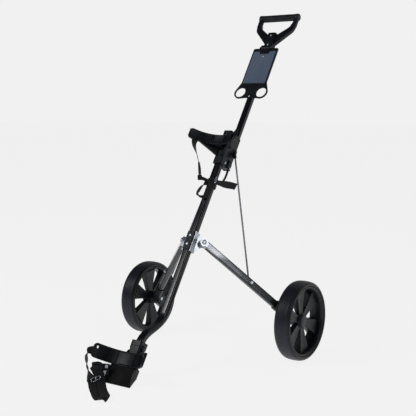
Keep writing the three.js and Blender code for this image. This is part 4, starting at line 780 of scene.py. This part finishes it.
HANDLE_BACK = 40.0
HANDLE_THICKNESS = 14.5
GRIP_UP = 875.0
GRIP_HALF = 76.0
GRIP_END = 12.6  # how much of each side the grip's end takes
GRIP_RIDGES = 26
GRIP_HIGH = 11.9
GRIP_LOW = 11.5
GRIP_BORE = 7.8
BORDER_LIFT = 0.9  # of the panel's border, behind the panel's face
BORDER_THICKNESS = 3.4


def upright(back):
    """The matrix of a plate drawn across and up the tube, at a distance behind it."""
    return columns(ACROSS, UP, ACROSS.cross(UP), at(0, back, 0))


def make_handle(paint):
    """The D-shaped handle, its stem, its ridged grip and the grip's ends."""
    outer = [
        (-16, 746, 2), (16, 746, 2), (16, 760, 14), (70, 817, 16), (75, 838, 20),
        (76, 884, 7), (62, 886, 3), (62, 880, 2), (-62, 880, 2), (-62, 886, 3),
        (-76, 884, 7), (-75, 838, 20), (-70, 817, 16), (-16, 760, 14),
    ]
    inner = [(-19, 804, 8), (19, 804, 8), (54, 831, 14), (61, 852, 12), (61, 868, 2),
             (-61, 868, 2), (-61, 852, 12), (-54, 831, 14)]
    loops = [rounded(outer), rounded(inner)]
    frame_plate = plate("handle_frame", loops, HANDLE_THICKNESS, 3.0, upright(HANDLE_BACK))
    dress(frame_plate, paint, "upper_frame", "black_plastic", "handle_body")
    stem_path = [at(0, HANDLE_BACK - 1.0, up) for up in (746, 750, 770, 790, 802, 805)]
    stem = bar("handle_stem", stem_path, 31.0, 26.0, ACROSS, 0.3)
    dress(stem, paint, "upper_frame", "black_plastic")
    half = GRIP_HALF - GRIP_END
    profile = [(GRIP_BORE, -half)]
    for i in range(GRIP_RIDGES + 1):
        place = -half + 2 * half * i / GRIP_RIDGES
        profile.append((GRIP_HIGH if i % 2 else GRIP_LOW, place))
    profile.append((GRIP_BORE, half))
    grip_middle = at(0, HANDLE_BACK, GRIP_UP)
    grip = lathe("grip_sleeve_ribbed", profile, grip_middle, ACROSS, SMALL_ROUND_STEPS)
    dress(grip, paint, "upper_frame", "grip_foam", "grip_sleeve")
    for sign, name in ((1, "right"), (-1, "left")):
        end = lathe(f"{name}_grip_end", [
            (0, 63.8), (12.0, 63.8), (12.3, 64.6), (12.3, 73.2), (11.4, 75.2),
            (9.0, GRIP_HALF), (0, GRIP_HALF),
        ], grip_middle, ACROSS * sign, SMALL_ROUND_STEPS)
        dress(end, paint, "upper_frame", "black_plastic")


def make_panel_frame(paint):
    """A thin raised border round the slate panel, on the plate."""
    matrix = upright(PANEL_FACE_BACK + BORDER_LIFT)
    outer = rounded([(-46.4, 595, 3), (46.4, 595, 3), (46.4, 738, 6), (-46.4, 738, 6)])
    inner = rounded([(-42.8, 598.6, 1.5), (42.8, 598.6, 1.5), (42.8, 726, 1.5), (-42.8, 726, 1.5)])
    border = plate("panel_border", [outer, inner], BORDER_THICKNESS, 0.8, matrix)
    dress(border, paint, "upper_frame", "black_plastic")


# ---- the cradles' bands


def band(name, spec, body, paint, holes, *stands_for):
    """A curved band with rolled edges towards the bag and rounded tips, with holes or without."""
    radius, centre, half_angle = ring_way(spec["half_chord"], spec["sag"], spec["back"])
    lip = spec["lip"]
    middle_up = (spec["top"] + spec["bottom"]) / 2
    full = (spec["top"] - spec["bottom"]) / 2
    rings = []
    for i in range(BAND_STEPS + 1):
        share = -math.cos(math.pi * i / BAND_STEPS)
        angle = share * half_angle
        arc = (1 - abs(share)) * half_angle * radius
        tip = min(arc / TIP_ROUNDING, 1.0)
        half = full * (TIP_SHARE + (1 - TIP_SHARE) * math.sqrt(1 - (1 - tip) ** 2))
        out = Vector((math.sin(angle), math.cos(angle)))
        section = [
            (3.0, -half + 1.5), (3.0, half - 1.5), (2.0, half), (-3.0 - lip, half),
            (-4.0 - lip, half - 1.4), (-3.0 - lip, half - 3.4), (-2.2, half - 4.6),
            (-2.2, -half + 4.6), (-3.0 - lip, -half + 3.4), (-4.0 - lip, -half + 1.4),
            (-3.0 - lip, -half), (2.0, -half),
        ]
        rings.append([
            at(out.x * (radius + r), centre + out.y * (radius + r), middle_up + h)
            for r, h in section
        ])
    piece = loft(name, rings)
    carve(piece, *[hole_cutter(spec, side) for side in holes])
    dress(piece, paint, body, "black_plastic", *stands_for)


# ---- straps


def world_mm(x, y, z):
    """A point of the part's own frame, in millimetres, as a place in metres."""
    return Vector((x, y, z)) * MM


def way(across, back, up):
    """A direction of tube space."""
    return ACROSS * across + BACK * back + UP * up


EDGE_ON = (0.57, -0.74, -0.36)  # the width of a strap that is seen on its edge
SEEN_FLAT = (0.82, 0.475, 0.318)  # and of one whose face is seen


def make_upper_straps(paint):
    """The thin webbing of the upper cradle: from the band to the tube, and what hangs there."""
    edge = way(*EDGE_ON)
    along_band = way(0.745, 0.667, 0)
    hang = ribbon("upper_webbing", [
        (at(-73, -64, 346), along_band), (at(-72, -65, 336), along_band),
        (at(-70, -66, 320), way(0.85, 0.1, 0)), (at(-61, -68, 298), way(0.75, -0.5, -0.2)),
        (at(-46, -64, 272), edge), (at(-37, -50, 248), edge), (at(-31, -36, 222), edge),
        (at(-29, -31, 209), edge),
    ], 24, WEBBING_THICKNESS)
    dress(hang, paint, "upper_frame", "webbing", "upper_strap")
    doubled = ribbon("upper_webbing_fold", [
        (at(-38, -50, 250), edge), (at(-34, -42, 234), way(0.7, -0.7, -0.1)),
        (at(-31, -35, 219), way(0.7, -0.7, -0.1)), (at(-28, -31, 207), edge),
    ], 15, FOLDED)
    dress(doubled, paint, "upper_frame", "webbing")
    link_strap = ribbon("buckle_link", [
        (at(-28, -30, 207), way(0.3, -0.3, 0.9)), (at(-17, -23, 207), way(0.4, -0.5, 0.75)),
        (at(-5, -14, 206), way(0.5, -0.7, 0.5)), (at(2, -13, 204), way(0.5, -0.7, 0.5)),
    ], 11, WEBBING_THICKNESS)
    dress(link_strap, paint, "upper_frame", "webbing")
    make_wrap(paint)
    loop = ribbon("hanging_loop", [
        (at(4, -14, 202), way(0.2, -0.3, 0.9)), (at(-6, -15, 200), way(0.3, -0.5, 0.7)),
        (at(-17, -18, 188), way(0.8, -0.4, 0.3)), (at(-23, -20, 170), way(0.88, -0.38, -0.1)),
        (at(-22, -20, 156), way(0.8, -0.45, -0.3)), (at(-8, -16, 150), way(0.4, -0.5, -0.7)),
        (at(3, -13.6, 155), way(0.7, 0, -0.7)), (at(5, -13.2, 172), way(1, 0, -0.1)),
        (at(4, -13.4, 192), way(1, 0, 0)), (at(4, -14.6, 205), way(1, 0, 0)),
    ], 19, WEBBING_THICKNESS)
    dress(loop, paint, "upper_frame", "webbing")
    tail = ribbon("loose_tail", [
        (at(17, -9, 206), way(0.1, -0.9, 0.25)), (at(31, -9, 203), way(0.1, -0.9, 0.3)),
        (at(48, -10, 200), way(0, -0.7, 0.6)), (at(70, -12, 197), way(0, -0.35, 0.9)),
        (at(90, -13, 194), way(-0.1, 0, 1)), (at(101, -13, 192), way(-0.25, 0, 1)),
    ], 22, WEBBING_THICKNESS)
    dress(tail, paint, "upper_frame", "webbing", "strap_tail")
    seen = way(*SEEN_FLAT)
    keeper = ribbon("narrow_keeper", [
        (at(12, 38, 280), seen), (at(21, 27, 262), seen), (at(31, 14, 244), seen),
        (at(40, 1, 226), seen), (at(44, -8, 209), seen),
    ], 7, 1.6)
    dress(keeper, paint, "upper_frame", "webbing")
    make_upper_fittings(paint)


def make_wrap(paint):
    """Two turns of webbing round the lower tube."""
    for index, (low, tilt) in enumerate(((212, 3), (199, -4))):
        route = []
        for step in range(WRAP_STEPS + 1):
            angle = 2 * math.pi * step / WRAP_STEPS
            wide = 13.6 + index * 0.5
            deep = 11.8 + index * 0.5
            x = wide * math.copysign(abs(math.cos(angle)) ** 0.55, math.cos(angle))
            back = deep * math.copysign(abs(math.sin(angle)) ** 0.55, math.sin(angle))
            route.append((at(x, back, low + tilt * math.cos(angle)), UP))
        turn = ribbon(f"tube_wrap_{index}", route, WRAP_WIDTH, WEBBING_THICKNESS, 3)
        stands_for = ("strap_collar",) if index == 0 else ()
        dress(turn, paint, "upper_frame", "webbing", *stands_for)


def make_upper_fittings(paint):
    """The small buckle, and the bright hook beside the tube."""
    face = columns(
        way(*SEEN_FLAT), way(-0.1, -0.47, 0.88), way(*EDGE_ON), at(-28.5, -31, 207),
    )
    outline = rounded([(-7, -8, 3), (7, -8, 3), (7, 8, 3), (-7, 8, 3)])
    buckle = plate("small_buckle", [outline], 6.5, 1.6, face)
    dress(buckle, paint, "upper_frame", "black_plastic", "upper_buckle")
    hook = wire_loop("bright_hook", [
        at(15.5, -10, 224), at(19, -15, 221), at(21, -19, 213), at(22, -20, 204),
        at(25, -20, 198), at(28, -20, 202), at(26, -20, 209), at(23.5, -19, 214),
    ], 2.6, False)
    dress(hook, paint, "upper_frame", "silver_metal", "strap_hook")


def wire_loop(name, points, diameter, cyclic=True):
    """A round wire through places, closed into a ring or open."""
    if cyclic:
        wrapped = [points[-1]] + points + points[:2]
        path = smooth_path(wrapped, WIRE_STEPS)[WIRE_STEPS:-WIRE_STEPS - 1]
    else:
        path = smooth_path(points, WIRE_STEPS)
    rings = []
    side = None
    for i, place in enumerate(path):
        after = path[(i + 1) % len(path)] if cyclic else path[min(i + 1, len(path) - 1)]
        before = path[i - 1] if cyclic else path[max(i - 1, 0)]
        ahead = (after - before).normalized()
        if side is None:
            side = ahead.orthogonal()
        side = (side - ahead * side.dot(ahead)).normalized()
        other = ahead.cross(side)
        ring = []
        for k in range(WIRE_SIDES):
            angle = 2 * math.pi * k / WIRE_SIDES
            away = side * math.cos(angle) + other * math.sin(angle)
            ring.append(place + away * diameter * MM / 2)
        rings.append(ring)
    return loft(name, rings, cyclic)


STRAND_WIDTH = (0.643, 0.765, 0.0)  # across the webbing that lies on the ground
SEEN_EDGE = (0.568, -0.815, 0.116)


def make_lower_strap(paint):
    """The wide webbing: from the band's tip, down, along the ground and back to its buckle."""
    flat = Vector(STRAND_WIDTH)
    edge = Vector(SEEN_EDGE)
    tip = way(0.25, -0.1, 0.96)
    strap = ribbon("lower_webbing", [
        (world_mm(-80, -372, 84), tip), (world_mm(-90, -378, 83), tip),
        (world_mm(-96, -386, 73), Vector((0.72, -0.35, 0.55))),
        (world_mm(-96, -388, 57), Vector((0.8, -0.5, 0.1))),
        (world_mm(-90, -391, 38), edge), (world_mm(-78, -398, 20), Vector((0.7, -0.2, 0.2))),
        (world_mm(-58, -408, 8), flat), (world_mm(-32, -432, 3), flat),
        (world_mm(0, -460, 2.2), flat), (world_mm(28, -484, 2.6), flat),
        (world_mm(50, -499, 4), flat), (world_mm(62, -500, 9), flat),
        (world_mm(62, -490, 12), flat), (world_mm(48, -474, 9), flat),
        (world_mm(22, -452, 7), flat), (world_mm(-6, -426, 7), flat),
        (world_mm(-30, -402, 10), flat), (world_mm(-46, -388, 20), Vector((0.8, 0.5, 0))),
        (world_mm(-52, -384, 32), Vector((0.82, 0.57, 0))),
    ], WEBBING, WEBBING_THICKNESS + 0.4, 6)
    dress(strap, paint, "base", "webbing", "lower_strap")
    face = columns(
        Vector((0.82, 0.572, 0)), Vector((-0.066, 0.094, 0.993)), edge, world_mm(-62, -386, 37),
    )
    make_lower_buckle(face, paint)


def make_lower_buckle(face, paint):
    """The cluster at the strap's end: body, latch, two bright clasps and a bent wire."""
    body = plate("lower_buckle_body", [rounded([
        (-12, 20, 3), (5, 22, 3), (15, 19, 3), (20, 10, 3), (13, -19, 4), (-3, -23, 4),
        (-11, -8, 2), (-18, 4, 3), (-12, 8, 2),
    ])], 8, 2.0, face)
    dress(body, paint, "base", "black_plastic", "lower_buckle")
    front = face @ Matrix.Translation((0, 0, 5.5 * MM))
    outline = rounded([(-8, 14, 2), (9, 14, 2), (11, 2, 2), (-9, 0, 2)])
    latch = plate("lower_buckle_latch", [outline], 4, 1.2, front)
    dress(latch, paint, "base", "black_plastic")
    for index, (x, y) in enumerate(((29, 9), (24, -7))):
        clasp = plate(f"clasp_{index}", [rounded([
            (x - 4, y - 5, 1.5), (x + 3, y - 5, 1.5), (x + 5, y + 5, 1.5), (x - 3, y + 5, 1.5),
        ])], 4, 0.9, face @ Matrix.Translation((0, 0, 3 * MM)))
        dress(clasp, paint, "base", "silver_metal")
    outline = rounded([(6, 17, 2), (36, 15, 2), (34, -16, 2), (8, -14, 2)])
    behind = face @ Matrix.Translation((0, 0, -3 * MM))
    link_bar = plate("clasp_bridge", [outline], 4, 1.2, behind)
    dress(link_bar, paint, "base", "black_plastic")
    ring = wire_loop("wire_triangle", [
        face @ Vector((x * MM, y * MM, z * MM))
        for x, y, z in ((-9, -21, 20), (12, -15, 20), (13, -20, 24), (-6, -30, 25), (-10, -27, 24))
    ], 2.0)
    dress(ring, paint, "base", "silver_metal", "wire_ring")


# ---- cradles and foot

WEB_LOW = 297  # the web's lower corner at the tube
WEB_RISE = 25  # how much higher its lower edge is at the band
WEB_HIGH = 350
UPPER_BAND = {"half_chord": 88, "sag": 45, "back": -38, "bottom": 320, "top": 354, "lip": 1.6}
LOWER_BAND = {"half_chord": 93, "sag": 45, "back": -86, "bottom": -431, "top": -389, "lip": 1.2}


def ring_way(half_chord, sag, back):
    """A band's radius, its centre behind the tube, and the angle that its half takes."""
    radius = (half_chord ** 2 + sag ** 2) / (2 * sag)
    return radius, back - 3.0 - radius, math.asin(half_chord / radius)


def cross_rib(name, spec, share, thickness, paint, body):
    """An upright rib across the band's inner face."""
    radius, centre, half_angle = ring_way(spec["half_chord"], spec["sag"], spec["back"])
    angle = share * half_angle
    out = Vector((math.sin(angle), math.cos(angle)))
    tangent = way(math.cos(angle), -math.sin(angle), 0)
    place = radius - 3.0
    path = [at(out.x * place, centre + out.y * place, up)
            for up in (spec["bottom"] + 2.5, (spec["bottom"] + spec["top"]) / 2, spec["top"] - 2.5)]
    rib = bar(name, path, thickness, 2.6, tangent, 0.5)
    dress(rib, paint, body, "black_plastic")


def carve(obj, *cutters):
    """Cuts shapes out of a piece and applies the cuts."""
    for cutter in cutters:
        cut = obj.modifiers.new("cut", "BOOLEAN")
        cut.operation = "DIFFERENCE"
        cut.object = cutter
        cut.solver = "EXACT"
    bpy.context.view_layer.update()
    graph = bpy.context.evaluated_depsgraph_get()
    mesh = bpy.data.meshes.new_from_object(obj.evaluated_get(graph))
    obj.modifiers.clear()
    obj.data = mesh
    for cutter in cutters:
        bpy.data.objects.remove(cutter)
    return obj


def hole_cutter(spec, side):
    """A small rounded hole through the band, high in its tip."""
    radius, centre, half_angle = ring_way(spec["half_chord"], spec["sag"], spec["back"])
    angle = side * (half_angle - TIP_HOLE_INSET / radius)
    out = Vector((math.sin(angle), math.cos(angle)))
    up = (spec["bottom"] + spec["top"]) / 2 + TIP_HOLE_LIFT
    tangent = way(math.cos(angle), -math.sin(angle), 0)
    outward = way(out.x, out.y, 0)
    matrix = columns(tangent, UP, outward, at(out.x * radius, centre + out.y * radius, up))
    w = TIP_HOLE[0] / 2
    h = TIP_HOLE[1] / 2
    corner = w * 0.9
    outline = rounded([(-w, -h, corner), (w, -h, corner), (w, h, corner), (-w, h, corner)])
    return plate("hole", [outline], 24, 0.2, matrix)


def make_upper_cradle(paint):
    """The band that holds the bag's top, its ribs, its neck to the tube and the webs under it."""
    spec = UPPER_BAND
    band("upper_band", spec, "upper_frame", paint, (), "upper_cradle")
    for index, share in enumerate((-0.62, -0.56, -0.26, -0.20, 0.20, 0.26, 0.56, 0.62)):
        cross_rib(f"upper_rib_{index}", spec, share, 1.8, paint, "upper_frame")
    neck_path = [at(0, back, 337) for back in (-39, -34, -22, -15.6)]
    neck = bar("cradle_neck", neck_path, 26, 34, ACROSS, 0.2)
    dress(neck, paint, "upper_frame", "black_plastic", "cradle_bolt", bevel=0.8)
    for side in (-1, 1):
        start = Vector((side * 9.0, -17.0))
        end = Vector((side * 60.0, -60.5))
        run = end - start
        matrix = columns(
            way(run.x, run.y, 0).normalized(), UP, way(-run.y, run.x, 0).normalized(),
            at(start.x, start.y, 0),
        )
        length = run.length
        web = rounded([
            (0, WEB_LOW, 3), (length, WEB_LOW + WEB_RISE, 1),
            (length, WEB_HIGH, 1), (0, WEB_HIGH, 1),
        ])
        gusset = plate(f"gusset_{side + 1}", [web], 3.5, 0.8, matrix)
        dress(gusset, paint, "upper_frame", "black_plastic")
        flange = bar(f"gusset_flange_{side + 1}", [
            matrix @ (Vector((share * length, WEB_LOW + WEB_RISE * share, 0)) * MM)
            for share in (0.0, 0.33, 0.66, 0.97)
        ], 9, 2.4, way(-run.y, run.x, 0).normalized(), 0.4)
        dress(flange, paint, "upper_frame", "black_plastic")
    rivet_head(
        "band_tip_rivet", at(-82.0, -92.5, 346), way(0.55, -0.82, 0), 2.0, paint, "upper_frame",
    )


def rivet_head(name, place, direction, radius, paint, body):
    """A low domed rivet."""
    head = lathe(name, [(0, 0.9), (radius * 0.5, 0.8), (radius * 0.85, 0.45), (radius, 0), (0, 0)],
                 place, direction, 24)
    dress(head, paint, body, "silver_metal")


def ground_up(back):
    """How far along the tube the ground pad's top lies, at a distance behind the tube."""
    pad_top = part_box("foot_pad")[1].z + 0.0003
    return (pad_top - ORIGIN.z - BACK.z * back * MM) / UP.z / MM


def make_foot(paint):
    """The socket round the tube, the wedge-shaped foot and the lower band in front of it."""
    spec = LOWER_BAND
    band("lower_band", spec, "base", paint, (-1, 1), "lower_cradle")
    for index, share in enumerate((-0.60, -0.30, 0.30, 0.60)):
        cross_rib(f"lower_rib_{index}", spec, share, 1.6, paint, "base")
    socket = bar("tube_socket", [at(0, -60, up) for up in (-441, -420, -380, -352, -348)],
                 35, 31, ACROSS, 0.3)
    dress(socket, paint, "base", "black_plastic", bevel=0.8)
    collar = bar("socket_collar", [at(0, -60, up) for up in (-362, -358, -350, -346)],
                 38, 34, ACROSS, 0.3)
    dress(collar, paint, "base", "black_plastic", bevel=0.8)
    bridge = bar("socket_bridge", [at(0, -88, -415), at(0, -80, -415), at(0, -72, -415)],
                 35, 52, ACROSS, 0.15)
    dress(bridge, paint, "base", "black_plastic", bevel=0.8)
    plan = rounded([(-50, -95, 4), (50, -95, 4), (22, -44.7, 5), (-22, -44.7, 5)])
    levels = []
    for lift, inset in ((0.0, 0.0), (1.0, 0.0), (20.0, 1.2), (None, 2.0)):
        ring = []
        for corner in plan:
            up = -425.0 if lift is None else ground_up(corner.y) + lift
            ring.append(at(corner.x * (1 - inset / 50), corner.y + inset, up))
        levels.append(ring)
    foot = loft("foot_wedge", levels)
    dress(foot, paint, "base", "black_plastic", look="foot_rubber", bevel=0.9)
    for side in (-1, 1):
        low = ground_up(-95.0)
        edge_rib = bar(f"foot_rib_{side + 1}", [
            at(side * 46.5, -95.6, low + 1.5), at(side * 46.0, -95.4, (low - 431) / 2),
            at(side * 45.5, -95.0, -434),
        ], 4.5, 4, ACROSS, 0.4)
        dress(edge_rib, paint, "base", "black_plastic")
        make_socket_boss(side, paint)


def make_socket_boss(side, paint):
    """The round boss and the lug on one side of the socket."""
    out = ACROSS * side
    name = "right" if side > 0 else "left"
    boss = lathe(f"{name}_socket_boss", [
        (0, 8.5), (7.0, 8.5), (8.5, 7.6), (15.5, 7.6), (18.5, 6.6), (20.5, 4.0), (21.0, 0), (0, 0),
    ], at(side * 16.5, -58, -391), out, SMALL_ROUND_STEPS)
    dress(boss, paint, "base", "black_plastic")
    lug = lathe(f"{name}_socket_lug", [
        (0, 7.0), (6.0, 7.0), (8.0, 6.2), (9.4, 4.0), (9.6, 0), (0, 0),
    ], at(side * 17.3, -60, -364), out, 40)
    stands_for = ("foot_bolt",) if side > 0 else ()
    dress(lug, paint, "base", "black_plastic", *stands_for)


# ---- the whole


def keep_the_rest(paint):
    """Every CAD node that still shows gets its slot's material. The leg's knuckle is bare metal."""
    slots = {part["node"]: part["material_slot"] for part in RECORD["subparts"]}
    for name, obj in NODES.items():
        if obj.hide_render:
            continue
        slot = slots[name]
        if name.endswith("leg_knuckle"):
            keep(name, paint["silver_metal"], 0.5)
        elif slot == "leg_paint":
            keep(name, paint["right_leg" if name.startswith("right") else "left_leg"], 0.3)
        else:
            keep(name, paint[slot], 0.5)


def make_floor(material):
    """A wide flat floor, as staging only."""
    far = FLOOR_SIZE
    corners = [(-far, -far, 0), (far, -far, 0), (far, far, 0), (-far, far, 0)]
    floor = mesh_from("floor", corners, [(0, 1, 2, 3)])
    floor.location.z = -FLOOR_DROP
    floor.data.materials.append(material)


def floor_material():
    """A pale floor that glows a little, as a lit sweep does, so its shadows stay faint."""
    material, tree, shader = fresh("floor", FLOOR_TONE, 0.9)
    tone = mixed(tree, noise(tree, 0.7), FLOOR_TONE, tuple(1.02 * c for c in FLOOR_TONE))
    link(tree, tone, shader.inputs["Base Color"])
    shader.inputs["Specular IOR Level"].default_value = 0.0
    shader.inputs["Emission Color"].default_value = (1, 1, 1, 1)
    shader.inputs["Emission Strength"].default_value = FLOOR_GLOW
    return material


make_camera()
make_studio()
PAINT = make_materials()
make_floor(floor_material())
make_upper_straps(PAINT)
make_lower_strap(PAINT)
make_wheels(PAINT)
make_handle(PAINT)
make_panel_frame(PAINT)
make_upper_cradle(PAINT)
make_foot(PAINT)
keep_the_rest(PAINT)
